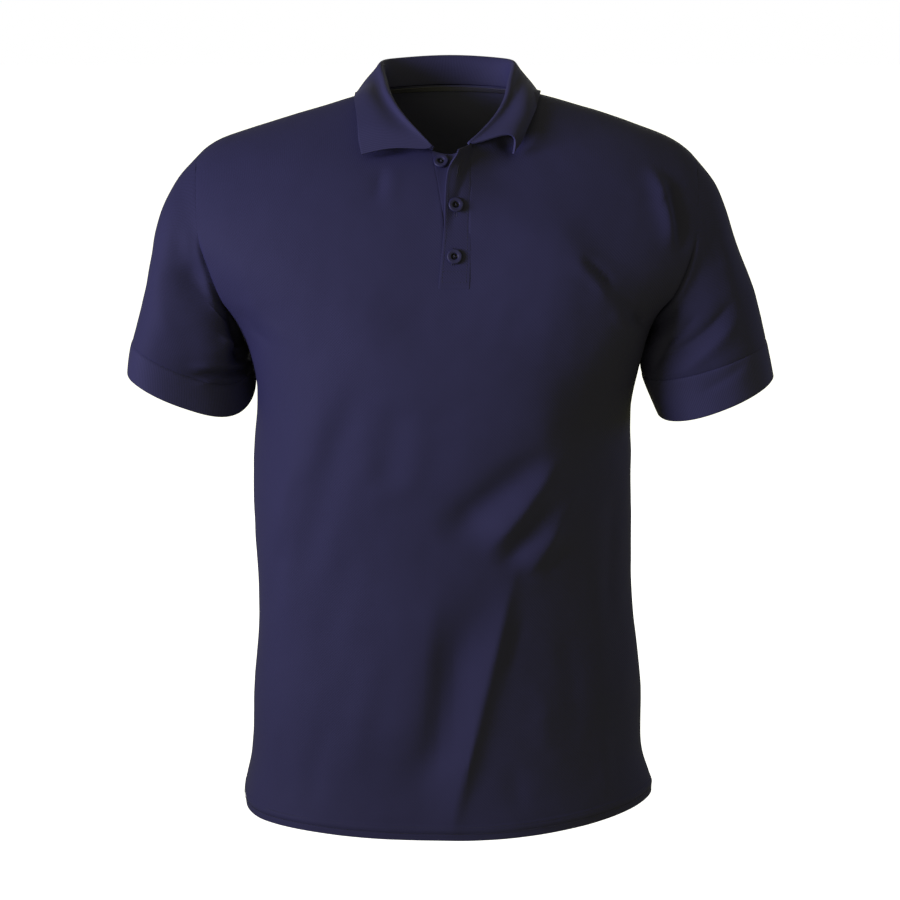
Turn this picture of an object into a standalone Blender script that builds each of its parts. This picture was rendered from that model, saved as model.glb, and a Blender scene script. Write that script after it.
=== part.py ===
"""A men's short-sleeved polo shirt, filled as if worn, with nobody in it.

Metres, +Z up, the chest faces -Y. The origin is where the shirt rests on the shoulders: the
middle of the neck opening, level with the top of the shoulder seams. Sizes below are in
millimetres. +X is the wearer's left side, whose placket band lies on top.
"""

import math

import bmesh
import bpy
import numpy as np
from mathutils import Matrix, Vector

MM = 0.001
CLOTH = 1.6  # one layer of pique
BAND = 1.8  # a placket band, two thin layers pressed flat
RIB = 2.0  # the knitted collar and cuffs
TAPE = 0.9  # the tape over the back neck seam
GAP = 0.5  # between pieces at a seam
SEAM_INSET = 0.35  # how far each panel stops short of the side and shoulder seams

# The body, a row per level from the hem to the neck seam. Each level is a rounded loop through
# four points: the left side, the right side, the middle front and the middle back.
# level, left x, right x, left z, right z, front y, front z, back y, back z, and how square the
# left half is and the right half
BODY = (
    (0.00, -209, 207, -704, -703, -123, -718, 120, -716, 3.00, 1.85),
    (0.12, -208, 205, -692, -691, -122, -705, 119, -703, 3.00, 1.85),
    (0.36, -203, 198, -668, -667, -119, -679, 116, -677, 3.00, 1.82),
    (1.05, -198, 194, -598, -598, -117, -606, 111, -604, 3.00, 1.78),
    (1.90, -192, 185, -514, -514, -114, -518, 102, -518, 2.95, 1.76),
    (2.90, -195, 182, -412, -412, -118, -416, 97, -416, 2.85, 1.85),
    (3.70, -194, 180, -332, -331, -124, -340, 101, -336, 2.70, 2.00),
    (4.20, -191.5, 183.5, -284, -283, -127, -293, 106, -288, 2.55, 2.15),
    (4.45, -196, 190.5, -256, -253, -127, -268, 108, -262, 2.50, 2.25),
    (4.80, -211, 204, -221, -214, -124, -232, 110, -226, 2.48, 2.40),
    (5.30, -246, 240, -176, -173, -119, -196, 111, -180, 2.50, 2.50),
    (5.80, -254, 249, -126, -126, -112, -160, 109, -132, 2.62, 2.62),
    (6.40, -243, 238, -58, -61, -100, -116, 99, -64, 2.55, 2.55),
    (6.90, -196, 193, -32, -32, -91, -92, 88, -36, 2.30, 2.30),
    (7.60, -130, 130, -12, -11, -79, -70, 74, -10, 2.00, 2.00),
    (8.20, -73, 73, 5, 5, -66, -53, 62, 8, 2.00, 2.00),
)
HEM, UNDERARM, SHOULDER, NECK = 0.0, 4.80, 6.40, 8.20
# Only the side seams turn the corners of these levels; the chest and back pass smoothly by.
SEAM_LEVELS = (4.20, 4.45, 5.30, 6.40)
BROAD = tuple(row for row in BODY if row[0] not in SEAM_LEVELS)
# How late each level's height leaves the side seam's for the middle front's or back's.
FRONT_DIP, BACK_DIP = 1.7, 1.3
ARMHOLE_FRONT, ARMHOLE_BACK = 25.0, 25.0  # degrees the armhole cuts into front and back

# The front hem hangs unevenly: angle, height above or below an even hem.
HEM_WAVE = ((-90, 0), (-62, 0.5), (-35, 3), (-15, 1.5), (10, -1), (40, -2), (65, -1.5), (90, 0))
HEM_WAVE_TOP = 0.6  # the level at which the wave has died away

# Broad folds in the cloth, a row each, as a soft ridge or trough along a bowed line.
# upper end x, z; lower end x, z; bow to the right; width to the left, to the right; height;
# how steeply its flanks fall, from 1 to 3
FRONT_FOLDS = (
    (106, -335, -8, -419, -3, 19, 18, -8.0, 2.0),
    (104, -338, 34, -432, 2, 18, 8, 6.5, 1.5),
    (106, -380, 46, -448, 2, 9, 10, -4.5, 2.0),
    (108, -398, 72, -456, 2, 13, 8, 4.5, 1.6),
    (64, -448, 0, -716, 0, 15, 8, 7.0, 1.4),
    (-10, -450, -32, -650, -4, 60, 20, 6.0, 1.8),
    (14, -492, -34, -684, 4, 20, 20, -5.2, 2.0),
    (82, -250, 92, -470, 4, 50, 28, 6.0, 1.8),
    (-106, -250, -172, -535, -8, 26, 20, 4.0, 2.0),
    (-82, -258, -158, -500, -8, 20, 20, -3.5, 2.0),
    (-52, -282, -62, -372, 2, 18, 18, -2.5, 2.0),
    (-74, -202, 112, -206, -8, 34, 26, -4.0, 2.0),
    (88, -86, 74, -236, 6, 60, 42, 6.0, 2.2),
    (96, -118, 190, -262, 4, 40, 17, 5.0, 1.8),
)
BACK_FOLDS = (
    (-70, -140, -96, -480, -10, 30, 30, 4.0, 2.0),
    (74, -140, 92, -500, 10, 30, 30, 4.0, 2.0),
    (-30, -420, -44, -700, 6, 26, 26, -4.0, 2.0),
    (46, -430, 30, -700, -6, 26, 26, -4.0, 2.0),
)
FOLD_FADE = 0.35  # the share of a fold's length over which each of its ends fades
FOLD_BLUNT = 0.15  # how far past its ends a fold is still felt, as a share of that fade

CUFF_SEAM, SLEEVE_END = 0.90, 1.12
# The sleeves, a row per loop after the armhole, down to the cuff seam and on to the hem.
# along; outer x, y, z; inner x, y, z; depth to the front, to the back; dip of the front rim,
# and how much of that dip is towards the inner side
SLEEVE_LEFT = (
    (0.25, -278, -14, -105, -208.5, 4, -234, 60, 56, 5, 0.4),
    (0.45, -288.5, -20, -143, -203.8, 12, -243, 60, 54, 9, 0.6),
    (0.65, -295.5, -26, -181, -200.6, 16, -250, 58, 52, 12, 0.6),
    (0.88, -310, -30, -232, -197.8, 18, -259, 56, 50, 20, 0.6),
    (SLEEVE_END, -315.3, -32, -265, -194.3, 18, -280, 54, 50, 29, 0.6),
)
SLEEVE_RIGHT = (
    (0.25, 270, -4, -109, 204, -2, -229, 60, 56, 0, 0.2),
    (0.45, 282, -4, -146, 198.8, 2, -239, 60, 54, 1, 0.2),
    (0.65, 297, -6, -184.5, 193.0, 3, -252, 58, 52, 2, 0.2),
    (0.88, 311.5, -7, -235, 190.2, 3, -272, 56, 50, 7, 0.2),
    (SLEEVE_END, 319.5, -7, -274, 207, -3, -313, 54, 50, 10, 0.2),
)
# How full each sleeve's loops are: 1 makes an ellipse, less makes it fuller at its corners.
SLEEVE_FULLNESS = {-1: 0.80, 1: 0.96}
# The first tenth of a sleeve keeps the armhole's shape and steps out and down by these.
STEP_AT = 0.10
STEP_SHOULDER, STEP_UNDERARM = (17.0, -18.0), (5.0, -5.5)
STEP_DEEPER, STEP_FORWARD = 0.06, -3.0  # and grows in depth, and leans to the front

# The collar, a row per section from the left front end round the back to the right front end.
# angle on the neck seam, fold x, y, z, outer edge x, y, z, fold radius, arch of the fall
COLLAR = (
    (-14, -17.5, -79.0, -45.5, -84, -76, -53.6, 1.6, 3.5),
    (-25, -28.5, -76.0, -34.0, -87, -71, -39.2, 2.0, 3.5),
    (-38, -39.5, -69.0, -23.0, -88, -63, -26.2, 2.4, 3.0),
    (-52, -51.0, -55.0, -9.5, -90, -47, -13.0, 2.8, 3.0),
    (-68, -60.5, -31.0, 5.5, -92, -25, -3.0, 3.0, 3.0),
    (-90, -65.0, 0.0, 18.0, -92, 2, 0.5, 3.0, 2.0),
    (-115, -68.0, 30.0, 30.0, -89, 32, -2.0, 3.0, 2.0),
    (-145, -50.0, 54.0, 34.0, -62, 63, -8.0, 3.0, 3.0),
    (-180, 0.0, 64.0, 36.5, 0, 76, -10.0, 3.0, 2.0),
    (-215, 49.0, 54.0, 34.0, 60, 63, -8.0, 3.0, 3.0),
    (-245, 63.5, 30.0, 29.5, 84, 32, -2.0, 3.0, 2.0),
    (-270, 60.0, 0.0, 16.5, 87, -2, -1.4, 3.0, 3.0),
    (-292, 55.5, -26.0, 1.0, 81, -38, -14.6, 3.0, 5.0),
    (-308, 47.0, -46.0, -14.0, 74, -56, -28.4, 2.8, 7.0),
    (-322, 37.0, -58.0, -25.5, 68, -66, -40.8, 2.4, 11.0),
    (-335, 28.0, -66.0, -34.0, 63, -71, -48.0, 2.0, 15.0),
    (-345, 19.0, -70.5, -41.5, 60, -74, -52.6, 1.6, 18.0),
)
COLLAR_CLEAR = RIB / 2 + 1.3  # the fall's middle surface keeps this far off the body
FALL_FROM = 0.39  # the share of the collar's height at which its fall begins

# The placket opening and its bands, a row per height.
# height, left edge, right edge of the opening, free edge of the top band, how far it stands away
PLACKET = (
    (-42, -18.5, 20.5, 9.5, 21.0),
    (-52, -18.0, 20.0, 7.5, 19.0),
    (-62, -16.0, 20.0, 3.0, 16.0),
    (-80, -12.0, 19.5, -3.0, 10.5),
    (-98, -9.0, 19.0, -4.5, 5.5),
    (-118, -6.5, 18.5, -5.5, 1.2),
    (-140, -6.5, 18.0, -7.5, 0.0),
    (-176, -8.0, 17.0, -11.0, 0.0),
)
PLACKET_TOP, PLACKET_END, BANDS_TOP = -42.0, -176.0, -51.5
UNDER_BAND_EDGE = 14.0  # the hidden edge of the under band

BUTTON_WIDE, BUTTON_THICK = 14.4, 2.8
# name, x, z, distance out from the body, tilt towards the wearer's left in degrees
BUTTONS = (
    ("button_top", -8.5, -61.0, 0.3, -4.0),
    ("button_middle", 5.6, -101.5, 5.2, 13.0),
    ("button_low", 4.2, -147.8, 2.3, 3.5),
)

NAVY, RIBBED, GLOSS_NAVY = (0.03, 0.028, 0.075), (0.032, 0.03, 0.08), (0.016, 0.016, 0.03)
SOFT, SATIN = 0.85, 0.35  # how rough the cloth and the buttons are

# How finely the pieces are drawn.
FRONT_STRIPS = 18  # from each side seam to the placket
BACK_POINTS = 24
ARMHOLE_STEP = 18  # degrees round an armhole and a sleeve
COLLAR_SECTIONS = 37


def slopes_of(s, v):
    """Slopes at the stations that keep a curve's bend even from one span to the next."""
    count = len(s)
    step = np.diff(s)
    rise = np.diff(v, axis=0) / step.reshape(-1, *[1] * (v.ndim - 1))
    bend = np.zeros((count, count))
    pull = np.zeros_like(v)
    bend[0, :2] = 2, 1
    bend[-1, -2:] = 1, 2
    pull[0], pull[-1] = 3 * rise[0], 3 * rise[-1]
    for i in range(1, count - 1):
        before, after = step[i - 1], step[i]
        bend[i, i - 1:i + 2] = after, 2 * (before + after), before
        pull[i] = 3 * (after * rise[i - 1] + before * rise[i])
    return np.linalg.solve(bend, pull.reshape(count, -1)).reshape(v.shape)


def curve(stations, values, at):
    """A smooth curve through the values at the stations."""
    s = np.asarray(stations, float)
    v = np.asarray(values, float)
    slope = slopes_of(s, v)
    at = np.clip(np.asarray(at, float), s[0], s[-1])
    k = np.clip(np.searchsorted(s, at, side="right") - 1, 0, len(s) - 2)
    h = s[k + 1] - s[k]
    u = (at - s[k]) / h
    start = (1 + 2 * u) * (1 - u) ** 2 * v[k] + u * (1 - u) ** 2 * h * slope[k]
    return start + u * u * (3 - 2 * u) * v[k + 1] + u * u * (u - 1) * h * slope[k + 1]


def column(table, number, at):
    """A column of a table, smooth between its rows."""
    return curve([row[0] for row in table], [row[number] for row in table], at)


def column_down(table, number, height):
    """A column of a table whose rows go down."""
    return column(table[::-1], number, height)


def unit(v):
    """The same directions, each one long."""
    return v / np.maximum(np.linalg.norm(v, axis=-1, keepdims=True), 1e-9)


def smooth(u):
    """From 0 to 1 with a gentle start and end."""
    u = np.clip(u, 0.0, 1.0)
    return u * u * (3 - 2 * u)


def relief(x, z, folds):
    """How far the folds move the cloth out at x, z."""
    out = np.zeros_like(x)
    for x0, z0, x1, z1, bow, left, right, height, steep in folds:
        run = math.hypot(x1 - x0, z1 - z0)
        dx, dz = (x1 - x0) / run, (z1 - z0) / run
        along = ((x - x0) * dx + (z - z0) * dz) / run
        side = (x - x0) * -dz + (z - z0) * dx - bow * 4 * along * (1 - along)
        wide = np.where(side < 0, left, right)
        ends = smooth(along / FOLD_FADE + FOLD_BLUNT)
        ends = ends * smooth((1 - along) / FOLD_FADE + FOLD_BLUNT)
        out += height * ends * np.exp(-(np.abs(side / wide) ** steep))
    return out


def bare_body(angle, level):
    """A point of the smooth body: angle 0 is the middle front, 90 the right side."""
    angle, level = np.broadcast_arrays(np.asarray(angle, float), np.asarray(level, float))
    a = np.radians(angle)
    across, front = np.sin(a), np.cos(a)
    power = 2 / np.where(across < 0, column(BODY, 9, level), column(BODY, 10, level))
    wide = np.abs(across) ** power
    deep = np.abs(front) ** power
    left = np.stack([column(BODY, 1, level), column(BODY, 3, level)])
    right = np.stack([column(BODY, 2, level), column(BODY, 4, level)])
    left_broad = np.stack([column(BROAD, 1, level), column(BROAD, 3, level)])
    right_broad = np.stack([column(BROAD, 2, level), column(BROAD, 4, level)])
    broad = smooth((deep - 0.12) / 0.6)
    side = np.where(across < 0, left, right) * (1 - broad)
    side_x, side_z = side + np.where(across < 0, left_broad, right_broad) * broad
    end_y = np.where(front > 0, column(BODY, 5, level), column(BODY, 7, level))
    end_z = np.where(front > 0, column(BODY, 6, level), column(BODY, 8, level))
    dip = np.where(front > 0, FRONT_DIP, BACK_DIP)
    z = side_z + (end_z - side_z) * deep**dip
    round_by = (angle + 180) % 360 - 180
    z = z + column(HEM_WAVE, 1, round_by) * smooth(1 - level / HEM_WAVE_TOP)
    return np.stack([side_x * wide, end_y * deep, z], axis=-1)


def body_normal(angle, level):
    """The direction out of the cloth."""
    level = np.clip(level, HEM + 0.02, NECK - 0.02)
    turn = bare_body(angle + 0.6, level) - bare_body(angle - 0.6, level)
    rise = bare_body(angle, level + 0.02) - bare_body(angle, level - 0.02)
    return unit(np.cross(turn, rise))


def body(angle, level, out=0.0):
    """A point of the cloth with its folds, moved out by a distance."""
    angle, level = np.broadcast_arrays(np.asarray(angle, float), np.asarray(level, float))
    p = bare_body(angle, level)
    front = np.cos(np.radians(angle))
    fold = relief(p[..., 0], p[..., 2], FRONT_FOLDS) * smooth(front * 2.5)
    fold += relief(p[..., 0], p[..., 2], BACK_FOLDS) * smooth(-front * 2.5)
    return p + body_normal(angle, level) * (fold + out)[..., None]


def angle_at(x, level):
    """The angle on the front at which the body is x across."""
    side = column(BODY, 1, level) if x < 0 else column(BODY, 2, level)
    square = column(BODY, 9 if x < 0 else 10, level)
    across = (abs(x) / abs(side)) ** (square / 2)
    return math.copysign(math.degrees(math.asin(min(1.0, across))), x)


def level_at(z):
    """The level whose middle front has this height."""
    low, high = HEM, NECK
    for _ in range(40):
        middle = (low + high) / 2
        if column(BODY, 6, middle) < z:
            low = middle
        else:
            high = middle
    return (low + high) / 2


def seam_angle(level, y_side, x_side):
    """Where a panel stops, just short of the side or shoulder seam."""
    deep = abs(column(BODY, 5 if y_side < 0 else 7, level))
    square = column(BODY, 9 if x_side < 0 else 10, level)
    front = (SEAM_INSET / deep) ** (square / 2)
    return math.degrees(math.acos(front))


def around_armhole(turn):
    """Level of an armhole's point, and how far it cuts in: turn 0 is the shoulder point."""
    a = np.radians(turn)
    level = (SHOULDER + UNDERARM) / 2 + (SHOULDER - UNDERARM) / 2 * np.cos(a)
    return level, np.sin(a)


def sleeve(side, turn, along):
    """A point of a sleeve: turn 0 the outer line, 90 the front, 180 the underarm."""
    table = SLEEVE_LEFT if side < 0 else SLEEVE_RIGHT
    turn, along = np.broadcast_arrays(np.asarray(turn, float), np.asarray(along, float))
    a = np.radians(turn)
    level, cut = around_armhole(turn)
    angle = 90 - np.where(cut > 0, ARMHOLE_FRONT, ARMHOLE_BACK) * cut
    hole = bare_body(angle * side, level) + np.array([side * GAP, 0, 0])
    high = (1 + np.cos(a))[..., None] / 2
    step = high * STEP_SHOULDER + (1 - high) * STEP_UNDERARM
    deeper = hole[..., 1] * STEP_DEEPER + STEP_FORWARD
    first = np.stack([step[..., 0] * side, deeper, step[..., 1]], axis=-1)
    loops = [hole, hole + first]
    c = np.sign(np.cos(a)) * np.abs(np.cos(a)) ** SLEEVE_FULLNESS[side]
    s = np.sign(np.sin(a)) * np.abs(np.sin(a)) ** SLEEVE_FULLNESS[side]
    for _, ox, oy, oz, ix, iy, iz, ahead, behind, dip, lean in table:
        down = dip * s * (1 - lean * c)
        y = (oy + iy) / 2 + (oy - iy) / 2 * c
        x = (ox + ix) / 2 + (ox - ix) / 2 * c
        z = (oz + iz) / 2 + (oz - iz) / 2 * c - down
        deep = np.where(s > 0, -ahead, -behind) * s
        loops.append(np.stack([x, y + deep, z], axis=-1))
    stations = np.array([0.0, STEP_AT] + [row[0] for row in table])
    loops = np.array(loops)
    slopes = slopes_of(stations, loops)
    at = np.clip(along, stations[0], stations[-1])
    k = np.clip(np.searchsorted(stations, at, side="right") - 1, 0, len(stations) - 2)
    h = (stations[k + 1] - stations[k])[..., None]
    u = ((at - stations[k])[..., None]) / h
    rows = np.indices(k.shape)
    here, after = (k, *rows), (k + 1, *rows)
    p = (1 + 2 * u) * (1 - u) ** 2 * loops[here] + u * (1 - u) ** 2 * h * slopes[here]
    return p + u * u * (3 - 2 * u) * loops[after] + u * u * (u - 1) * h * slopes[after]


def above_body(points, clear, reach=40.0):
    """The points within reach of the body, moved out to keep clear of it."""
    angles, levels = np.meshgrid(np.arange(-180, 180, 2.5), np.arange(4.6, 8.21, 0.05))
    ground = body(angles, levels).reshape(-1, 3)
    away = body_normal(angles, levels).reshape(-1, 3)
    flat = points.reshape(-1, 3).copy()
    for i, p in enumerate(flat):
        k = np.argmin(((ground - p) ** 2).sum(axis=1))
        short = clear - (p - ground[k]) @ away[k]
        if short > 0 and np.linalg.norm(p - ground[k]) < reach:
            flat[i] = p + away[k] * short
    return flat.reshape(points.shape)


def collar_points(across, up):
    """The collar's middle surface: across 0 to 1 round the neck, up 0 at the seam to 1 at
    the outer edge, with the fold between."""
    stations = np.linspace(0, 1, len(COLLAR))
    guide = [curve(stations, [row[n] for row in COLLAR], across) for n in range(9)]
    seam = body(guide[0], np.full_like(across, NECK))
    rim = unit(seam - body(guide[0], np.full_like(across, NECK - 0.06)))
    seam = seam + rim * (GAP + RIB / 2)
    seam = seam - body_normal(guide[0], np.full_like(across, NECK)) * 0.6
    fold = np.stack(guide[1:4], axis=-1)
    edge = np.stack(guide[4:7], axis=-1)
    radius = guide[7][:, None]
    away = edge - fold
    away[:, 2] = 0
    away = unit(away)
    upward = np.array([0.0, 0.0, 1.0])
    inner = fold - away * radius - upward * radius
    outer = fold + away * radius - upward * radius
    swell = unit(away + upward * 0.9) * guide[8][:, None]
    knots = [
        seam,
        seam + (inner - seam) * 0.55 - away * 0.3 * radius,
        inner,
        fold,
        outer,
        outer + (edge - outer) * 0.35 + swell * 0.85,
        outer + (edge - outer) * 0.7 + swell * 0.95,
        edge,
    ]
    stops = (0.0, 0.13, 0.25, 0.32, FALL_FROM, 0.58, 0.79, 1.0)
    grid = np.empty((len(up), len(across), 3))
    for i in range(len(across)):
        for axis in range(3):
            grid[:, i, axis] = curve(stops, [knot[i, axis] for knot in knots], up)
    fall = up > FALL_FROM
    grid[fall] = above_body(grid[fall], COLLAR_CLEAR)
    return grid


def cloth(name, sheet, thick, colour, wrap=False, leave_out=(), inward=False, middle=False):
    """A wall of cloth lofted through a grid of points, its rows the sections."""
    rows, columns = sheet.shape[:2]
    around = range(columns if wrap else columns - 1)
    faces = []
    for r in range(rows - 1):
        for c in around:
            if (r, c) not in leave_out:
                d = (c + 1) % columns
                low, high = r * columns, (r + 1) * columns
                face = (low + c, low + d, high + d, high + c)
                faces.append(face[::-1] if inward else face)
    mesh = bpy.data.meshes.new(name)
    mesh.from_pydata((sheet.reshape(-1, 3) * MM).tolist(), [], faces)
    bm = bmesh.new()
    bm.from_mesh(mesh)
    bmesh.ops.delete(bm, geom=[v for v in bm.verts if not v.link_faces], context="VERTS")
    bm.to_mesh(mesh)
    bm.free()
    piece = bpy.data.objects.new(name, mesh)
    wall = piece.modifiers.new("thickness", "SOLIDIFY")
    wall.thickness = thick * MM
    wall.offset = 0.0 if middle else -1.0
    wall.use_even_offset = True
    finish(piece, colour, SOFT)


def finish(piece, colour, rough):
    """Gives a piece its own material and puts it with the others."""
    material = bpy.data.materials.new(piece.name)
    material.use_nodes = True
    shader = material.node_tree.nodes["Principled BSDF"]
    shader.inputs["Base Color"].default_value = (*colour, 1)
    shader.inputs["Roughness"].default_value = rough
    piece.data.materials.append(material)
    shirt.objects.link(piece)


def panel_levels():
    """Levels of the body's rows: the sides, the armhole, the shoulder."""
    hem = np.array([HEM, 0.12, 0.36])
    sides = np.append(np.arange(0.60, 4.2, 0.22), [4.38, 4.6])
    hole, _ = around_armhole(np.arange(180, -1, -ARMHOLE_STEP))
    top = np.array([6.64, 6.9, 7.2, 7.55, 7.88, NECK])
    return np.concatenate([hem, sides, hole, top])


def edge_angle(level, y_side, x_side):
    """Where the front or back stops at this level: a seam or the armhole."""
    whole = seam_angle(level, y_side, x_side)
    middle = (SHOULDER + UNDERARM) / 2
    near = (level - middle) / ((SHOULDER - UNDERARM) / 2)
    if abs(near) >= 1:
        return whole
    cut = ARMHOLE_FRONT if y_side < 0 else ARMHOLE_BACK
    return whole - cut * math.sqrt(1 - near * near)


def front_panel():
    """The front's rows of points, and the faces its placket opening leaves out."""
    levels = list(panel_levels())
    end = level_at(PLACKET_END)
    nearest = min(range(len(levels)), key=lambda i: abs(levels[i] - end))
    levels[nearest] = end
    rows = []
    removed = set()
    for r, level in enumerate(levels):
        height = float(np.clip(column(BODY, 6, level), PLACKET_END, PLACKET_TOP))
        left, right = (
            angle_at(float(column_down(PLACKET, n, height)), level) for n in (1, 2)
        )
        angles = np.concatenate([
            np.linspace(-edge_angle(level, -1, -1), left, FRONT_STRIPS + 1),
            np.linspace(left, right, 4)[1:-1],
            np.linspace(right, edge_angle(level, -1, 1), FRONT_STRIPS + 1),
        ])
        rows.append(body(angles, np.full_like(angles, level)))
        if r >= nearest and r < len(levels) - 1:
            removed |= {(r, FRONT_STRIPS + strip) for strip in range(3)}
    return np.array(rows), removed


def back_panel():
    """The back's rows of points."""
    rows = []
    for level in panel_levels():
        first, last = 180 - edge_angle(level, 1, 1), 180 + edge_angle(level, 1, -1)
        angles = np.linspace(first, last, BACK_POINTS)
        rows.append(body(angles, np.full_like(angles, level)))
    return np.array(rows)


def placket_band(top):
    """A band of the placket: rows up its length, columns from its free or left edge."""
    rows = []
    for height in np.linspace(PLACKET_END + GAP, BANDS_TOP, 11):
        left, right, free, away = (float(column_down(PLACKET, n, height)) for n in (1, 2, 3, 4))
        level = level_at(height)
        if top:
            xs = np.linspace(free, right - GAP, 5)
            share = np.linspace(1, 0, 5)
            out = 0.9 + 1.5 * share + away * share**1.25
        else:
            xs = np.linspace(left + GAP, UNDER_BAND_EDGE, 5)
            out = np.linspace(-0.2, -2.4, 5)
        angles = np.array([angle_at(x, level) for x in xs])
        rows.append(body(angles, np.full(5, level), out))
    return np.array(rows)


def button(name, x, z, out, tilt):
    """A round button, its raised rim and the knot over its holes turned as one profile."""
    half, thick = BUTTON_WIDE / 2, BUTTON_THICK
    profile = ((0, thick - 0.2), (1.6, thick - 0.2), (2.2, thick - 0.9), (half - 2.4, thick - 0.9),
               (half - 1.6, thick), (half - 0.7, thick), (half, thick - 0.7), (half, 1.0),
               (half - 1.2, 0), (0, 0))
    mesh = bpy.data.meshes.new(name)
    points = [(r * MM, 0, h * MM) for r, h in profile]
    mesh.from_pydata(points, [(i, i + 1) for i in range(len(points) - 1)], [])
    piece = bpy.data.objects.new(name, mesh)
    turned = piece.modifiers.new("turned", "SCREW")
    turned.steps = turned.render_steps = 20
    turned.use_merge_vertices = True
    turned.merge_threshold = 0.00001
    level = level_at(z)
    angle = angle_at(x, level)
    normal = Vector(body_normal(np.array([angle]), np.array([level]))[0])
    normal.rotate(Matrix.Rotation(math.radians(tilt), 3, "Z"))
    piece.location = Vector(body(np.array([angle]), np.array([level]), out)[0]) * MM
    piece.rotation_euler = normal.to_track_quat("Z", "Y").to_euler()
    finish(piece, GLOSS_NAVY, SATIN)


for old in list(bpy.data.objects):
    bpy.data.objects.remove(old, do_unlink=True)
shirt = bpy.data.collections.new("polo_shirt")
bpy.context.scene.collection.children.link(shirt)

front, opening = front_panel()
cloth("front", front, CLOTH, NAVY, leave_out=opening)
cloth("back", back_panel(), CLOTH, NAVY)

turns = np.arange(0, 360, ARMHOLE_STEP)
for side, label in ((-1, "right"), (1, "left")):
    # the wearer's right sleeve is on the -X side
    stops = np.array([0.0, 0.05, 0.12, 0.24, 0.38, 0.52, 0.66, 0.78, CUFF_SEAM])
    tube = sleeve(side, turns[None, :], stops[:, None])
    cloth("sleeve_" + label, tube, CLOTH, NAVY, wrap=True, inward=side < 0)
    stops = np.array([CUFF_SEAM, 0.96, 1.04, SLEEVE_END])
    tube = sleeve(side, turns[None, :], stops[:, None])
    tube[0] += unit(tube[1] - tube[0]) * 2 * GAP
    cloth("cuff_" + label, tube, RIB, RIBBED, wrap=True, inward=side < 0)

ups = np.array([0.0, 0.13, 0.25, 0.32, FALL_FROM, 0.54, 0.7, 0.85, 1.0])
around = np.linspace(0, 1, COLLAR_SECTIONS)
cloth("collar", collar_points(around, ups), RIB, RIBBED, middle=True)
cloth("placket_top", placket_band(True), BAND, NAVY)
cloth("placket_under", placket_band(False), BAND, NAVY)

arc = np.linspace(104, 256, 17)
levels = np.array([NECK - 0.13, NECK - 0.02])
cloth("neck_tape", body(arc[None, :], levels[:, None], -CLOTH - GAP), TAPE, NAVY)

for row in BUTTONS:
    button(*row)
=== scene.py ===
"""How a navy pique polo shirt looks, filled out as if worn, with nobody in it.

Tables are in millimetres and the scene in metres. +Z is up, the chest faces -Y, and the wearer's
left is at +X. Pieces are named by the wearer's left and right. In the working, left and right
alone are as seen from the front.
"""

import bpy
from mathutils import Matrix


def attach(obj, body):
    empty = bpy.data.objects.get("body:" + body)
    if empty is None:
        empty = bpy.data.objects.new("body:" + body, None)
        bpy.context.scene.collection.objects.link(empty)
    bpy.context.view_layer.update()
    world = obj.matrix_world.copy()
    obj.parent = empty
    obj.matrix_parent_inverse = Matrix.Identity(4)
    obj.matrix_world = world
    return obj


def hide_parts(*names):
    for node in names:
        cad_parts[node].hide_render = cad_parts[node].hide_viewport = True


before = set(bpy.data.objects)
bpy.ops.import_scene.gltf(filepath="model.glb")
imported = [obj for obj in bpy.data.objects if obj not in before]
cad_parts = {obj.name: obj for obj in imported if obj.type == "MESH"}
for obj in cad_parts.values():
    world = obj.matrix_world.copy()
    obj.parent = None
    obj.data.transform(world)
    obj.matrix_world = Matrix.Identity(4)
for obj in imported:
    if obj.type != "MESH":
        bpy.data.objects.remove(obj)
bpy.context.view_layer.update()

import math

import bmesh
import bpy
import numpy as np
from mathutils import Matrix, Vector, kdtree, noise

MM = 0.001
PIQUE_WALL = 1.2  # one layer of pique
HEM_WALL = 2.0  # the hem, turned up once
RIB_WALL = 2.0  # flat-knit rib, the collar and cuffs
BAND_WALL = 1.8  # a placket band, folded double
TAPE_WALL = 0.9  # twill tape

# ---------------------------------------------------------------------------- the cut

# The body, a row per level from the hem to the neck seam. Each level is a rounded loop through
# four points: the wearer's right side, their left side, the middle front and the middle back.
# level; x at the right, at the left; z at the right, at the left; front y, z; back y, z; how
# square the right half is, and the left half
BODY = (
    (0.00, -209, 207, -704, -703, -123, -718, 120, -716, 3.00, 1.85),
    (0.12, -208, 205, -692, -691, -122, -705, 119, -703, 3.00, 1.85),
    (0.36, -203, 198, -668, -667, -119, -679, 116, -677, 3.00, 1.82),
    (1.05, -198, 194, -598, -598, -117, -606, 111, -604, 3.00, 1.78),
    (1.90, -192, 185, -514, -514, -114, -518, 102, -518, 2.95, 1.76),
    (2.90, -195, 182, -412, -412, -118, -416, 97, -416, 2.85, 1.85),
    (3.70, -194, 180, -332, -331, -124, -340, 101, -336, 2.70, 2.00),
    (4.20, -191.5, 183.5, -284, -283, -127, -293, 106, -288, 2.55, 2.15),
    (4.45, -196, 190.5, -256, -253, -127, -268, 108, -262, 2.50, 2.25),
    (4.80, -211, 204, -221, -214, -124, -232, 110, -226, 2.48, 2.40),
    (5.30, -246, 240, -176, -173, -119, -196, 111, -180, 2.50, 2.50),
    (5.80, -254, 249, -126, -126, -112, -160, 109, -132, 2.62, 2.62),
    (6.40, -243, 238, -58, -61, -100, -116, 99, -64, 2.55, 2.55),
    (6.90, -196, 193, -32, -32, -91, -92, 88, -36, 2.30, 2.30),
    (7.60, -130, 130, -12, -11, -79, -70, 74, -10, 2.00, 2.00),
    (8.20, -73, 73, 5, 5, -66, -53, 62, 8, 2.00, 2.00),
)
HEM, UNDERARM, SHOULDER, NECK = 0.0, 4.80, 6.40, 8.20
HOLE_MIDDLE, HOLE_HALF = (SHOULDER + UNDERARM) / 2, (SHOULDER - UNDERARM) / 2
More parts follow.
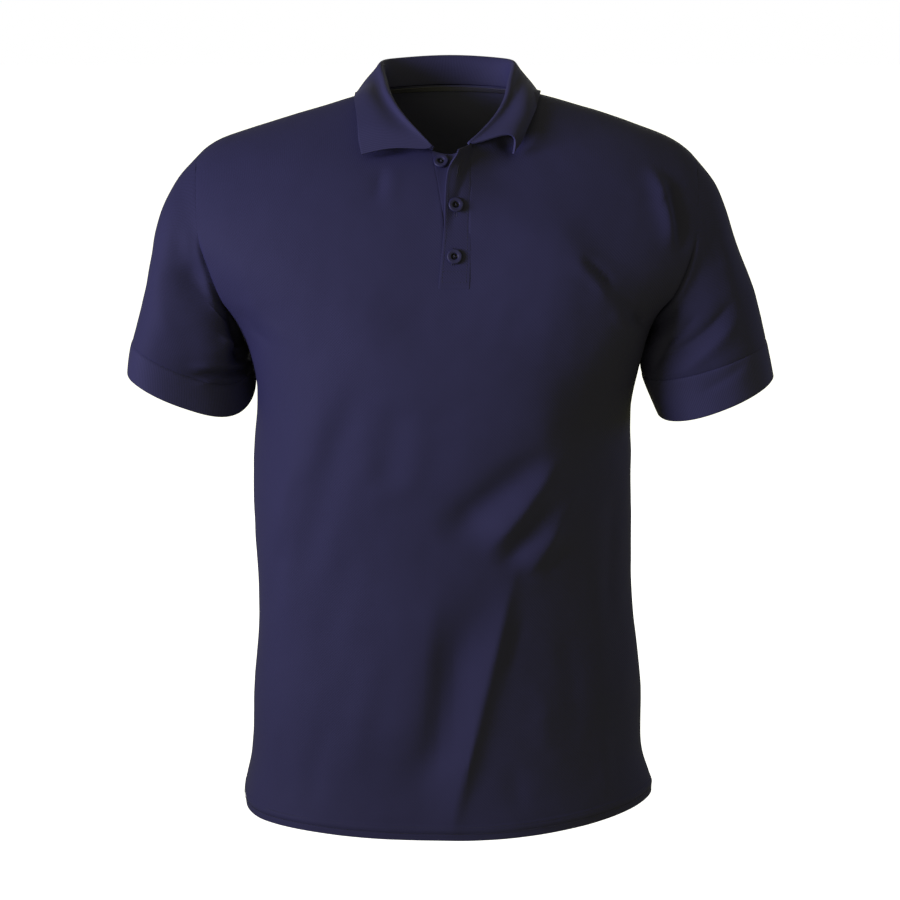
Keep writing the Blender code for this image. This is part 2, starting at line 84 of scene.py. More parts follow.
# Only the side seams turn the corners of these levels; the chest and back pass smoothly by.
SEAM_LEVELS = (4.20, 4.45, 5.30, 6.40)
BROAD = tuple(row for row in BODY if row[0] not in SEAM_LEVELS)
# How late each level's height leaves the side seam's for the middle front's or back's.
FRONT_DIP, BACK_DIP = 1.7, 1.3
ARMHOLE_CUT = 25.0  # degrees that an armhole cuts into front and back

# The hem hangs unevenly: angle, height above or below an even hem.
HEM_WAVE = ((-90, 0), (-62, 0.5), (-35, 3), (-15, 1.5), (10, -1), (40, -2), (65, -1.5), (90, 0))
HEM_WAVE_TOP = 0.6  # the level at which the wave has died away
HEM_FOLD = 0.145  # the level that the turned-up hem reaches inside
HEM_ROWS = (0.125, 0.066)  # the levels of the two rows of hem stitching
HEM_PROUD, HEM_DINT, HEM_ROLL = 0.9, 0.6, 2.0  # the second layer, each stitched row, the fold
HEM_STEP, DINT_WIDE = 0.012, 0.010  # levels over which the layer steps up, and a dint reaches

# Broad folds, a row each, as a soft ridge or trough along a bowed line.
# upper end x, z; lower end x, z; bow towards +X; width on the -X side, on the +X side; height;
# how steeply the flanks fall, from 1 to 3
FRONT_FOLDS = (
    (106, -335, -8, -419, -3, 19, 18, -8.0, 2.0),
    (104, -338, 34, -432, 2, 18, 8, 6.5, 1.5),
    (106, -380, 46, -448, 2, 9, 10, -4.5, 2.0),
    (108, -398, 72, -456, 2, 13, 8, 4.5, 1.6),
    (64, -448, 0, -716, 0, 15, 8, 7.0, 1.4),
    (-10, -450, -32, -650, -4, 60, 20, 6.0, 1.8),
    (14, -492, -34, -684, 4, 20, 20, -5.2, 2.0),
    (82, -250, 92, -470, 4, 50, 28, 6.0, 1.8),
    (-106, -250, -172, -535, -8, 26, 20, 4.0, 2.0),
    (-82, -258, -158, -500, -8, 20, 20, -3.5, 2.0),
    (-52, -282, -62, -372, 2, 18, 18, -2.5, 2.0),
    (-74, -202, 112, -206, -8, 34, 26, -4.0, 2.0),
    (88, -86, 74, -236, 6, 60, 42, 6.0, 2.2),
    (28, -2, 0, -112, 0, 9, 22, 6.0, 2.0),
    (96, -118, 190, -262, 4, 40, 17, 5.0, 1.8),
)
# The finer creases that lie on them.
FRONT_CREASES = (
    (122, -148, 156, -180, 2, 4, 3, -3.4, 1.4),
    (116, -152, 150, -186, 2, 6, 5, 1.6, 2.0),
    (150, -176, 196, -226, 3, 6, 5, -1.3, 1.8),
    (194, -66, 211, -142, 3, 8, 5, 5.2, 1.7),
    (210, -74, 221, -150, 2, 5, 7, -4.2, 1.8),
    (172, -204, 188, -214, 1, 3, 3, -2.4, 1.5),
    (150, -196, 192, -226, -3, 7, 6, 1.4, 1.8),
    (-196, -180, -150, -232, -4, 9, 7, 1.2, 1.8),
    (-204, -198, -172, -236, -3, 5, 5, -1.2, 1.6),
    (112, -432, 92, -458, 2, 6, 5, -1.5, 1.5),
    (126, -372, 98, -404, 2, 6, 6, 1.2, 1.6),
    (70, -496, 52, -560, 3, 7, 6, -1.4, 1.6),
    (84, -560, 92, -640, 4, 12, 10, 1.0, 2.0),
    (108, -500, 124, -640, 5, 12, 10, -1.2, 2.0),
    (140, -430, 146, -600, 4, 13, 12, 1.2, 2.0),
    (164, -360, 158, -520, -2, 9, 8, -1.6, 1.8),
    (-160, -420, -176, -520, -3, 9, 8, -1.8, 1.7),
    (-146, -340, -168, -440, -4, 9, 8, 1.2, 1.8),
    (-30, -300, -44, -380, 3, 14, 12, 1.2, 2.0),
    (-96, -420, -120, -560, -4, 16, 14, -1.4, 2.0),
    (-66, -520, -96, -660, -4, 15, 13, 1.5, 2.0),
    (-120, -600, -136, -690, -3, 13, 12, -1.4, 2.0),
    (-170, -600, -178, -680, -2, 9, 8, 1.2, 1.8),
    (150, -620, 156, -690, 2, 10, 9, 1.3, 1.8),
    (60, -640, 66, -700, 2, 12, 10, -1.3, 2.0),
    (-78, -53, -30, -47, 0, 2.5, 3.5, -4.0, 1.8),
    (46, -40, 63, -49, 2, 8, 6, -6.0, 2.0),
    (-66, -64, -70, -96, 1, 4, 4, -1.8, 1.5),
    (-54, -64, -58, -104, 1, 8, 8, 1.0, 2.0),
)
BACK_FOLDS = (
    (-70, -140, -96, -480, -10, 30, 30, 4.0, 2.0),
    (74, -140, 92, -500, 10, 30, 30, 4.0, 2.0),
    (-30, -420, -44, -700, 6, 26, 26, -4.0, 2.0),
    (46, -430, 30, -700, -6, 26, 26, -4.0, 2.0),
)
BACK_CREASES = (
    (-186, -170, -120, -214, -5, 10, 8, 1.8, 1.7),
    (-178, -196, -132, -232, -4, 8, 7, -1.6, 1.6),
    (176, -168, 118, -218, 5, 10, 8, 1.9, 1.7),
    (184, -196, 140, -236, 4, 7, 7, -1.8, 1.6),
    (-20, -70, -64, -130, -4, 12, 10, -1.6, 1.9),
    (24, -66, 70, -136, 4, 12, 10, -1.5, 1.9),
    (-110, -330, -64, -396, 5, 12, 9, -2.0, 1.7),
    (-92, -356, -40, -420, 5, 11, 9, 1.8, 1.7),
    (104, -340, 52, -404, -5, 12, 10, -2.2, 1.7),
    (88, -372, 30, -430, -5, 11, 9, 1.9, 1.7),
    (-128, -440, -140, -600, -4, 14, 12, -1.8, 1.9),
    (132, -430, 140, -610, 4, 14, 12, -1.8, 1.9),
    (-4, -520, 6, -680, 3, 14, 12, 1.6, 1.9),
    (84, -540, 76, -690, -3, 12, 11, 1.5, 1.9),
    (-88, -560, -92, -690, -2, 12, 10, 1.4, 1.9),
    (-166, -330, -170, -480, -3, 9, 8, -1.5, 1.8),
    (158, -340, 160, -500, 3, 9, 8, -1.5, 1.8),
)
FOLD_FADE = 0.35  # the share of a fold's length over which each of its ends fades
FOLD_BLUNT = 0.15  # how far past its ends a fold is still felt, as a share of that fade
SWELL_WIDE, SWELL_HIGH = 46.0, 0.75  # the cloth's slight swells between its folds

# The armhole seam: turn round it from the shoulder point by the front, how far it sinks in, how
# wide, and the share of the angle between body and sleeve that is rounded out, so that the one
# runs smoothly on into the other.
ARMHOLE_SEAM = (
    (0, 0.15, 2.0, 0.9), (25, 0.15, 2.0, 1.0), (55, 0.15, 2.0, 1.0), (72, 0.3, 2.0, 1.0),
    (84, 2.6, 2.0, 1.0), (104, 4.0, 2.4, 0.9), (125, 4.2, 2.8, 0.5), (150, 4.8, 5.5, 0.1),
    (180, 3.0, 6.5, 0.0), (215, 3.6, 6.5, 0.1), (245, 2.4, 5.0, 0.5), (280, 0.6, 3.0, 0.9),
    (320, 0.15, 2.0, 1.0), (360, 0.15, 2.0, 0.9),
)
ROUNDED_OVER = 26.0  # how far from the seam that rounding is felt
SEAM_DEEP, SEAM_WIDE = 1.0, 2.2  # the side and shoulder seams sink in by this, over this width
CALM_BY_SEAM = 12.0  # creases die away this near a seam

CUFF_SEAM, SLEEVE_END = 0.90, 1.12
# The sleeves, a row per loop after the armhole. The first is on the wearer's right.
# along; outer x, y, z; inner x, y, z; depth to the front, to the back; dip of the front rim,
# and how much of that dip is towards the inner side
RIGHT_SLEEVE_ROWS = (
    (0.25, -278, -14, -105, -208.5, 4, -234, 52, 52, 5, 0.4),
    (0.45, -288.5, -20, -143, -203.8, 12, -243, 57, 53, 9, 0.6),
    (0.65, -295.5, -26, -181, -200.6, 16, -250, 58, 52, 12, 0.6),
    (0.88, -310, -30, -232, -197.8, 18, -259, 56, 50, 20, 0.6),
    (SLEEVE_END, -315.3, -32, -265, -194.3, 18, -280, 54, 50, 29, 0.6),
)
LEFT_SLEEVE_ROWS = (
    (0.25, 270, -4, -109, 204, -2, -229, 53, 52, 0, 0.2),
    (0.45, 282, -4, -146, 198.8, 2, -239, 57, 53, 1, 0.2),
    (0.65, 297, -6, -184.5, 193.0, 3, -252, 58, 52, 2, 0.2),
    (0.88, 311.5, -7, -235, 190.2, 3, -272, 56, 50, 7, 0.2),
    (SLEEVE_END, 319.5, -7, -274, 207, -3, -313, 54, 50, 10, 0.2),
)
# How full each sleeve's loops are: 1 makes an ellipse, less makes it fuller at its corners.
SLEEVE_FULLNESS = {-1: 0.80, 1: 0.94}
# A loop between the armhole and the first row: its place along, its share of the way out, and
# how much fuller it is at the shoulder.
STEP_AT, STEP_SHARE, STEP_FULLER = 0.10, 0.42, (2.6, 0.0, 2.2)
PRESSED = {-1: 5.0, 1: 7.5}  # how far a sleeve's inner side lies against the body
CUFF_PROUD = 0.55  # how far a cuff stands out from its sleeve
TUCKED_IN, TUCK_WIDE = 0.6, 1.8  # how far both sink in at the seam between them, over what width
ALLOWANCE = 3.0  # how far a panel's or sleeve's edge turns in past its seam

# Creases of the sleeves, as for the body: on the front, then on the back.
SLEEVE_CREASES = {
    -1: (
        (
            (-229, -170, -221, -272, 0, 32, 8, 8.0, 1.9),
            (-213, -196, -203, -268, 0, 6, 22, -8.0, 2.2),
            (-228, -228, -196, -248, -3, 4, 4, 3.6, 1.5),
            (-256, -258, -190, -264, 2, 4, 4, 3.2, 1.6),
            (-252, -267, -190, -271, 2, 3, 3, -3.4, 1.6),
            (-248, -276, -190, -277, 2, 3, 3, 2.4, 1.7),
            (-284, -150, -270, -232, -4, 13, 10, 1.6, 2.0),
            (-244, -120, -250, -170, -2, 9, 8, 1.2, 2.0),
        ),
        (
            (-236, -150, -212, -206, 4, 8, 7, -2.0, 1.7),
            (-262, -160, -232, -236, 4, 11, 9, 2.0, 1.9),
            (-284, -190, -256, -250, 3, 9, 8, -1.6, 1.8),
        ),
    ),
    1: (
        (
            (276, -192, 200, -256, 6, 6, 8, -3.6, 1.5),
            (284, -204, 214, -272, 6, 7, 8, 2.4, 1.8),
            (238, -206, 198, -244, 4, 5, 5, -2.2, 1.5),
            (292, -252, 240, -286, 3, 7, 5, -1.6, 1.6),
            (232, -96, 240, -136, 2, 6, 5, 2.0, 1.7),
            (246, -110, 256, -168, 3, 10, 9, -1.4, 1.9),
            (262, -140, 276, -200, 3, 11, 10, 1.4, 2.0),
            (216, -230, 200, -268, -2, 5, 4, -2.0, 1.5),
        ),
        (
            (238, -150, 212, -210, -4, 9, 7, -2.0, 1.7),
            (266, -160, 232, -240, -4, 12, 9, 2.0, 1.9),
            (288, -190, 262, -262, -3, 9, 8, -1.6, 1.8),
        ),
    ),
}

# The collar, a row per section from the right front end round the back to the left front end.
# angle on the neck seam; fold x, y, z; outer edge x, y, z; fold radius; arch of the fall
COLLAR = (
    (-14, -17.5, -79.0, -45.5, -84, -76, -53.6, 1.6, 3.5),
    (-25, -28.5, -76.0, -34.0, -87, -71, -39.2, 2.0, 3.5),
    (-38, -39.5, -69.0, -23.0, -88, -63, -26.2, 2.4, 3.0),
    (-52, -51.0, -55.0, -9.5, -90, -47, -13.0, 2.8, 3.0),
    (-68, -60.5, -31.0, 5.5, -92, -25, -3.0, 3.0, 3.0),
    (-90, -65.0, 0.0, 18.0, -92, 2, 0.5, 3.0, 2.0),
    (-115, -68.0, 30.0, 30.0, -89, 32, -2.0, 3.0, 2.0),
    (-145, -50.0, 54.0, 34.0, -62, 63, -8.0, 3.0, 3.0),
    (-180, 0.0, 64.0, 36.5, 0, 76, -10.0, 3.0, 2.0),
    (-215, 49.0, 54.0, 34.0, 60, 63, -8.0, 3.0, 3.0),
    (-245, 63.5, 30.0, 29.5, 84, 32, -2.0, 3.0, 2.0),
    (-270, 60.0, 0.0, 16.5, 87, -2, -1.4, 3.0, 3.0),
    (-292, 55.5, -26.0, 1.0, 81, -38, -14.6, 3.0, 5.0),
    (-308, 47.0, -46.0, -14.0, 74, -56, -28.4, 2.8, 7.0),
    (-322, 37.0, -58.0, -25.5, 68, -66, -40.8, 2.4, 11.0),
    (-335, 28.0, -66.0, -34.0, 63, -71, -48.0, 2.0, 15.0),
    (-345, 19.0, -70.5, -41.5, 60, -74, -52.6, 1.6, 18.0),
)
COLLAR_CLEAR = RIB_WALL / 2 + 1.3  # the fall's middle surface keeps this far off the body
FALL_FROM = 0.39  # the share of the collar's height at which its fall begins
COLLAR_SEAM_GAP, COLLAR_SET_IN = 0.5, 0.6  # above the neck seam, and in from the body's face

# The placket, a row per height. The opening's left and right edges, the top band's free edge, how
# far that stands away from the shirt, and the x at which the band starts to turn away.
PLACKET = (
    (-42, -18.5, 20.5, 9.5, 20.0, 26.0),
    (-52, -18.0, 20.0, 8.5, 17.5, 24.0),
    (-62, -16.0, 20.0, 3.5, 16.0, 20.5),
    (-80, -12.0, 19.5, -3.0, 11.0, 13.0),
    (-98, -9.0, 19.0, -4.5, 6.5, 6.5),
    (-118, -6.5, 18.5, -5.5, 1.6, 2.5),
    (-140, -6.5, 18.0, -7.5, 0.0, 0.0),
    (-176, -8.0, 17.0, -11.0, 0.0, -6.0),
)
PLACKET_TOP, PLACKET_END, BANDS_TOP = -42.0, -176.0, -51.5
UNDER_BAND_EDGE = 14.0  # the hidden edge of the under band
BAND_OVER, BAND_BELOW = 1.6, 1.5  # how far a band laps the cloth beside and below the opening
BAND_LIFT = 1.3  # how far the top band's free edge stands off the under band
BAND_SLANT = 11.0  # how much lower the top band's open corner lies than its sewn one
SLANT_LONG = 26.0  # over this much of the band's height

BUTTON_WIDE, BUTTON_THICK = 14.4, 2.8
# name, x, z, distance out from the body, tilt towards the wearer's left in degrees
BUTTONS = (
    ("button_top", -8.5, -61.0, 0.3, -4.0),
    ("button_middle", 5.6, -101.5, 2.6, 9.0),
    ("button_low", 4.2, -147.8, 1.9, 3.5),
)

# ---------------------------------------------------------------------------- curves


def slopes_of(s, v):
    """Slopes at the stations that keep a curve's bend even from one span to the next."""
    count = len(s)
    step = np.diff(s)
    rise = np.diff(v, axis=0) / step.reshape(-1, *[1] * (v.ndim - 1))
    bend = np.zeros((count, count))
    pull = np.zeros_like(v)
    bend[0, :2] = 2, 1
    bend[-1, -2:] = 1, 2
    pull[0], pull[-1] = 3 * rise[0], 3 * rise[-1]
    for i in range(1, count - 1):
        before, after = step[i - 1], step[i]
        bend[i, i - 1:i + 2] = after, 2 * (before + after), before
        pull[i] = 3 * (after * rise[i - 1] + before * rise[i])
    return np.linalg.solve(bend, pull.reshape(count, -1)).reshape(v.shape)


def span_of(s, at):
    """The number of the span between stations that a place is in, its length, the share along."""
    at = np.clip(at, s[0], s[-1])
    k = np.clip(np.searchsorted(s, at, side="right") - 1, 0, len(s) - 2)
    h = s[k + 1] - s[k]
    return k, h, (at - s[k]) / h


def along_span(u, h, start, end, start_slope, end_slope):
    """The value at share u of a span, from the values and slopes at its ends."""
    first = (1 + 2 * u) * (1 - u) ** 2 * start + u * (1 - u) ** 2 * h * start_slope
    return first + u * u * (3 - 2 * u) * end + u * u * (u - 1) * h * end_slope


def curve(stations, values, at):
    """A smooth curve through the values at the stations."""
    s = np.asarray(stations, float)
    v = np.asarray(values, float)
    slope = slopes_of(s, v)
    k, h, u = span_of(s, np.asarray(at, float))
    return along_span(u, h, v[k], v[k + 1], slope[k], slope[k + 1])


def column(table, number, at):
    """A column of a table, smooth between its rows."""
    return curve([row[0] for row in table], [row[number] for row in table], at)


def column_down(table, number, height):
    """A column of a table whose rows go down."""
    return column(table[::-1], number, height)


def unit(v):
    """The same directions, each one long."""
    return v / np.maximum(np.linalg.norm(v, axis=-1, keepdims=True), 1e-9)


def smooth(u):
    """From 0 to 1 with a gentle start and end."""
    u = np.clip(u, 0.0, 1.0)
    return u * u * (3 - 2 * u)


def relief(x, z, folds):
    """How far the folds move the cloth out at x, z."""
    out = np.zeros_like(x)
    for x0, z0, x1, z1, bow, left, right, height, sharp in folds:
        run = math.hypot(x1 - x0, z1 - z0)
        dx, dz = (x1 - x0) / run, (z1 - z0) / run
        along = ((x - x0) * dx + (z - z0) * dz) / run
        side = (x - x0) * -dz + (z - z0) * dx - bow * 4 * along * (1 - along)
        wide = np.where(side < 0, left, right)
        ends = smooth(along / FOLD_FADE + FOLD_BLUNT)
        ends = ends * smooth((1 - along) / FOLD_FADE + FOLD_BLUNT)
        out += height * ends * np.exp(-(np.abs(side / wide) ** sharp))
    return out


def unevenness(points):
    """How far the cloth's slight swells move it out at some points, from a fixed noise."""
    flat = points.reshape(-1, 3) / SWELL_WIDE
    made = [noise.noise(Vector(p)) + 0.5 * noise.noise(Vector(p * 2.3)) for p in flat]
    return SWELL_HIGH * np.array(made).reshape(points.shape[:-1])


# ---------------------------------------------------------------------------- surfaces


def bare_body(angle, level):
    """A point of the smooth body: angle 0 is the middle front, 90 the wearer's left."""
    angle, level = np.broadcast_arrays(np.asarray(angle, float), np.asarray(level, float))
    a = np.radians(angle)
    across, front = np.sin(a), np.cos(a)
    power = 2 / np.where(across < 0, column(BODY, 9, level), column(BODY, 10, level))
    wide = np.abs(across) ** power
    deep = np.abs(front) ** power

    def side(table):
        """x and z of the end of the loop that each point is towards."""
        left = np.stack([column(table, 1, level), column(table, 3, level)])
        right = np.stack([column(table, 2, level), column(table, 4, level)])
        return np.where(across < 0, left, right)

    # The broad table takes over away from the side seams.
    broad = smooth((deep - 0.12) / 0.6)
    side_x, side_z = side(BODY) * (1 - broad) + side(BROAD) * broad
    end_y = np.where(front > 0, column(BODY, 5, level), column(BODY, 7, level))
    end_z = np.where(front > 0, column(BODY, 6, level), column(BODY, 8, level))
    dip = np.where(front > 0, FRONT_DIP, BACK_DIP)
    z = side_z + (end_z - side_z) * deep**dip
    round_by = (angle + 180) % 360 - 180
    z = z + column(HEM_WAVE, 1, round_by) * smooth(1 - level / HEM_WAVE_TOP)
    return np.stack([side_x * wide, end_y * deep, z], axis=-1)


def body_normal(angle, level, turn=0.6, rise=0.02):
    """The direction out of the cloth, judged from points a turn and a rise away."""
    level = np.clip(level, HEM + rise, NECK - rise)
    across = bare_body(angle + turn, level) - bare_body(angle - turn, level)
    up = bare_body(angle, level + rise) - bare_body(angle, level - rise)
    return unit(np.cross(across, up))


def hem_relief(level):
    """The hem is two layers thick, with a dint along each row of stitching."""
    thicker = HEM_PROUD * smooth((HEM_FOLD - level) / HEM_STEP)
    dints = sum(HEM_DINT * np.exp(-(((level - row) / DINT_WIDE) ** 2)) for row in HEM_ROWS)
    rolled_in = HEM_ROLL * smooth((HEM_ROWS[0] - level) / HEM_ROWS[0])
    return thicker - dints - rolled_in


def body(angle, level, out=0.0, creased=True):
    """A point of the cloth with its folds, moved out by a distance."""
    angle, level = np.broadcast_arrays(np.asarray(angle, float), np.asarray(level, float))
    p = bare_body(angle, level)
    front = np.cos(np.radians(angle))
    front_folds = FRONT_FOLDS + FRONT_CREASES if creased else FRONT_FOLDS
    back_folds = BACK_FOLDS + BACK_CREASES if creased else BACK_FOLDS
    fold = relief(p[..., 0], p[..., 2], front_folds) * smooth(front * 2.5)
    fold += relief(p[..., 0], p[..., 2], back_folds) * smooth(-front * 2.5)
    return p + body_normal(angle, level) * (fold + out)[..., None]


def angle_at(x, level):
    """The angle on the front at which the body is x across."""
    side = column(BODY, 1, level) if x < 0 else column(BODY, 2, level)
    square = column(BODY, 9 if x < 0 else 10, level)
    across = (abs(x) / abs(side)) ** (square / 2)
    return math.copysign(math.degrees(math.asin(min(1.0, across))), x)


def level_at(z):
    """The level whose middle front has this height."""
    low, high = HEM, NECK
    for _ in range(40):
        middle = (low + high) / 2
        if column(BODY, 6, middle) < z:
            low = middle
        else:
            high = middle
    return (low + high) / 2


def around_armhole(turn):
    """Level of an armhole's point, and how far it cuts in: turn 0 is the shoulder point."""
    a = np.radians(turn)
    return HOLE_MIDDLE + HOLE_HALF * np.cos(a), np.sin(a)


def sleeve(side, turn, along):
    """A point of a sleeve: turn 0 the outer line, 90 the front, 180 the underarm."""
    table = RIGHT_SLEEVE_ROWS if side < 0 else LEFT_SLEEVE_ROWS
    turn, along = np.broadcast_arrays(np.asarray(turn, float), np.asarray(along, float))
    a = np.radians(turn)
    level, cut = around_armhole(turn)
    hole = body((90 - ARMHOLE_CUT * cut) * side, level)
    loops = [hole]
    c = np.sign(np.cos(a)) * np.abs(np.cos(a)) ** SLEEVE_FULLNESS[side]
    s = np.sign(np.sin(a)) * np.abs(np.sin(a)) ** SLEEVE_FULLNESS[side]
    for _, ox, oy, oz, ix, iy, iz, ahead, behind, dip, lean in table:
        down = dip * s * (1 - lean * c)
        y = (oy + iy) / 2 + (oy - iy) / 2 * c
        x = (ox + ix) / 2 + (ox - ix) / 2 * c
        z = (oz + iz) / 2 + (oz - iz) / 2 * c - down
        deep = np.where(s > 0, -ahead, -behind) * s
        loops.append(np.stack([x, y + deep, z], axis=-1))
    high = ((1 + np.cos(a)) / 2)[..., None] ** 2
    fuller = np.array([STEP_FULLER[0] * side, *STEP_FULLER[1:]]) * high
    loops.insert(1, hole + (loops[1] - hole) * STEP_SHARE + fuller)
    stations = np.array([0.0, STEP_AT] + [row[0] for row in table])
    loops = np.array(loops)
    slopes = slopes_of(stations, loops)
    k, h, u = span_of(stations, along)
    places = np.indices(k.shape)
    here, after = (k, *places), (k + 1, *places)
    return along_span(
        u[..., None], h[..., None], loops[here], loops[after], slopes[here], slopes[after]
    )


def by_armhole(side, distance, turn):
    """How points near the armhole seam move, the same for the body and the sleeve."""
    deep, wide, share = (column(ARMHOLE_SEAM, n, turn % 360) for n in (1, 2, 3))
    level, cut = around_armhole(turn)
    on_body = body_normal((90 - ARMHOLE_CUT * cut) * side, level)
    along = unit(sleeve(side, turn + 1, 0.0) - sleeve(side, turn - 1, 0.0))
    onward = sleeve(side, turn, 0.02) - sleeve(side, turn, 0.0)
    onward = unit(onward - along * np.sum(onward * along, axis=-1, keepdims=True))
    on_sleeve = unit(np.cross(along, onward)) * side
    # The angle that the cloth turns through at the seam is shared between its two sides.
    angle = np.arcsin(np.clip(np.sum(onward * on_body, axis=-1), -0.95, 0.95))
    outward = unit(on_body + on_sleeve)
    move = share * angle / 2 * ROUNDED_OVER * np.exp(-distance / ROUNDED_OVER)
    move -= deep * np.exp(-((distance / wide) ** 1.5))
    return outward * move[..., None]


def grid_normals(grid, wrap=False):
    """Directions out of a grid of points whose rows go up, or out along a tube."""
    if wrap:
        across = np.roll(grid, -1, axis=1) - np.roll(grid, 1, axis=1)
    else:
        across = np.gradient(grid, axis=1)
    return unit(np.cross(across, np.gradient(grid, axis=0)))


def lengths(grid, axis):
    """How far along the cloth each point of a grid is, from the first row or column."""
    steps = np.linalg.norm(np.diff(grid, axis=axis), axis=-1)
    start = np.zeros_like(np.take(steps, [0], axis=axis))
    return np.concatenate([start, np.cumsum(steps, axis=axis)], axis=axis)


def nearest(points, line):
    """For each point, its distance to a line through points, and how many points along that
    line it is closest, in parts of a step too."""
    tree = kdtree.KDTree(len(line))
    for i, p in enumerate(line):
        tree.insert(Vector(p), i)
    tree.balance()
    flat = points.reshape(-1, 3)
    number = np.array([tree.find(Vector(p))[1] for p in flat])
    away = np.linalg.norm(flat - line[number], axis=-1)
    place = number.astype(float)
    for step in (-1, 1):
        other = np.clip(number + step, 0, len(line) - 1)
        span = line[other] - line[number]
        reach = np.maximum(np.sum(span * span, axis=-1), 1e-9)
        share = np.clip(np.sum((flat - line[number]) * span, axis=-1) / reach, 0.0, 1.0)
        gap = np.linalg.norm(flat - line[number] - span * share[:, None], axis=-1)
        place = np.where(gap < away, number + step * share, place)
        away = np.minimum(gap, away)
    return away.reshape(points.shape[:-1]), place.reshape(points.shape[:-1])


# ---------------------------------------------------------------------------- finishes


def hex_colour(code):
    """An sRGB hex colour, such as 2e2d59, as linear red, green, blue and 1."""
    shares = [int(code[i:i + 2], 16) / 255 for i in (0, 2, 4)]
    return (*[c / 12.92 if c <= 0.04045 else ((c + 0.055) / 1.055) ** 2.4 for c in shares], 1)


def add(tree, kind, inputs=None, **settings):
    """Adds a node with its settings, and a value or a link for each input."""
    node = tree.nodes.new(kind)
    for name, value in settings.items():
        setattr(node, name, value)
    for name, value in (inputs or {}).items():
        if isinstance(value, bpy.types.NodeSocket):
            tree.links.new(value, node.inputs[name])
        else:
            node.inputs[name].default_value = value
    return node


def new_finish(name, **values):
    """A material with only its shader and output, and the shader's plain values set."""
    material = bpy.data.materials.new(name)
    material.use_nodes = True
    shader = material.node_tree.nodes["Principled BSDF"]
    for socket, value in values.items():
        shader.inputs[socket.replace("_", " ")].default_value = value
    return material, material.node_tree, shader


# What the knits share: cotton's low gloss, and a faint nap that pales them at a slant.
KNITTED_COTTON = {
    "Roughness": 0.72, "IOR": 1.5, "Specular_IOR_Level": 0.22, "Sheen_Weight": 0.02,
    "Sheen_Roughness": 0.5, "Sheen_Tint": hex_colour("a9a9c0"),
}


def cotton_pique():
    """Cotton pique, knitted with small raised lozenges and dyed navy: matt, faintly napped."""
    cell = 0.0019  # a lozenge is 1.3 mm, drawn half as large again so that it shows
    material, tree, shader = new_finish("cotton_pique_knitted_navy", **KNITTED_COTTON)
    place = add(tree, "ShaderNodeTexCoord")
    turned = add(tree, "ShaderNodeMapping", {
        "Vector": place.outputs["UV"],
        "Rotation": (0, 0, math.radians(45)),
        "Scale": (1 / cell, 1 / cell, 1 / cell),
    })
    cells = add(tree, "ShaderNodeTexVoronoi", {
        "Vector": turned.outputs["Vector"], "Scale": 1.0, "Randomness": 0.16,
    }, feature="F1")
    height = add(tree, "ShaderNodeMapRange", {
        "Value": cells.outputs["Distance"], "From Min": 0.12, "From Max": 0.62,
        "To Min": 1.0, "To Max": 0.0,
    }, interpolation_type="SMOOTHSTEP")
    # Loose fibres lie over the knit, 0.5 mm apart.
    fibres = add(tree, "ShaderNodeTexNoise", {
        "Vector": place.outputs["UV"], "Scale": 2000.0, "Detail": 3.0, "Roughness": 0.6,
    })
    # The dye takes a little unevenly, over hand-sized areas and from yarn to yarn.
    patches = add(tree, "ShaderNodeTexNoise", {
        "Vector": place.outputs["Object"], "Scale": 7.0, "Detail": 4.0, "Roughness": 0.55,
    })
    patch = add(tree, "ShaderNodeMapRange", {
        "Value": patches.outputs["Fac"], "From Min": 0.3, "From Max": 0.7,
    })
    dye = add(tree, "ShaderNodeMix", {
        "Factor": patch.outputs["Result"], "A": hex_colour("2d2c54"), "B": hex_colour("302f58"),
    }, data_type="RGBA")
    # Less light gets down between the lozenges.
    pits = add(tree, "ShaderNodeMapRange", {
        "Value": height.outputs["Result"], "To Min": 0.72, "To Max": 1.0,
    })
    shaded = add(tree, "ShaderNodeMix", {
        "Factor": pits.outputs["Result"], "A": hex_colour("22213c"),
        "B": dye.outputs["Result"],
    }, data_type="RGBA")
    tree.links.new(shaded.outputs["Result"], shader.inputs["Base Color"])
    rough = add(tree, "ShaderNodeMapRange", {
        "Value": fibres.outputs["Fac"], "To Min": 0.66, "To Max": 0.82,
    })
    tree.links.new(rough.outputs["Result"], shader.inputs["Roughness"])
    fuzz = add(tree, "ShaderNodeBump", {
        "Height": fibres.outputs["Fac"], "Strength": 0.18, "Distance": 0.0002,
    })
    knit = add(tree, "ShaderNodeBump", {
        "Height": height.outputs["Result"], "Strength": 0.32, "Distance": 0.0003,
        "Normal": fuzz.outputs["Normal"],
    })
    tree.links.new(knit.outputs["Normal"], shader.inputs["Normal"])
    return material


def pique_reverse():
    """The back of the pique: close-standing flat loops, paler and greyer than the face, partly by
    painted light.
    """
    material, tree, shader = new_finish(
        "cotton_pique_reverse_navy", Roughness=0.85, IOR=1.5, Specular_IOR_Level=0.2,
    )
    place = add(tree, "ShaderNodeTexCoord")
    # Loops lie 1.1 mm apart.
    loops = add(tree, "ShaderNodeTexNoise", {
        "Vector": place.outputs["UV"], "Scale": 900.0, "Detail": 3.0, "Roughness": 0.6,
    })
    # Painted light: these colours are paler than the knit's back alone, to brighten the shaded
    # inside of the shirt.
    shaded = add(tree, "ShaderNodeMix", {
        "Factor": loops.outputs["Fac"], "A": hex_colour("4c4c74"), "B": hex_colour("5c5c8a"),
    }, data_type="RGBA")
    tree.links.new(shaded.outputs["Result"], shader.inputs["Base Color"])
    raised = add(tree, "ShaderNodeBump", {
        "Height": loops.outputs["Fac"], "Strength": 0.25, "Distance": 0.0003,
    })
    tree.links.new(raised.outputs["Normal"], shader.inputs["Normal"])
    return material


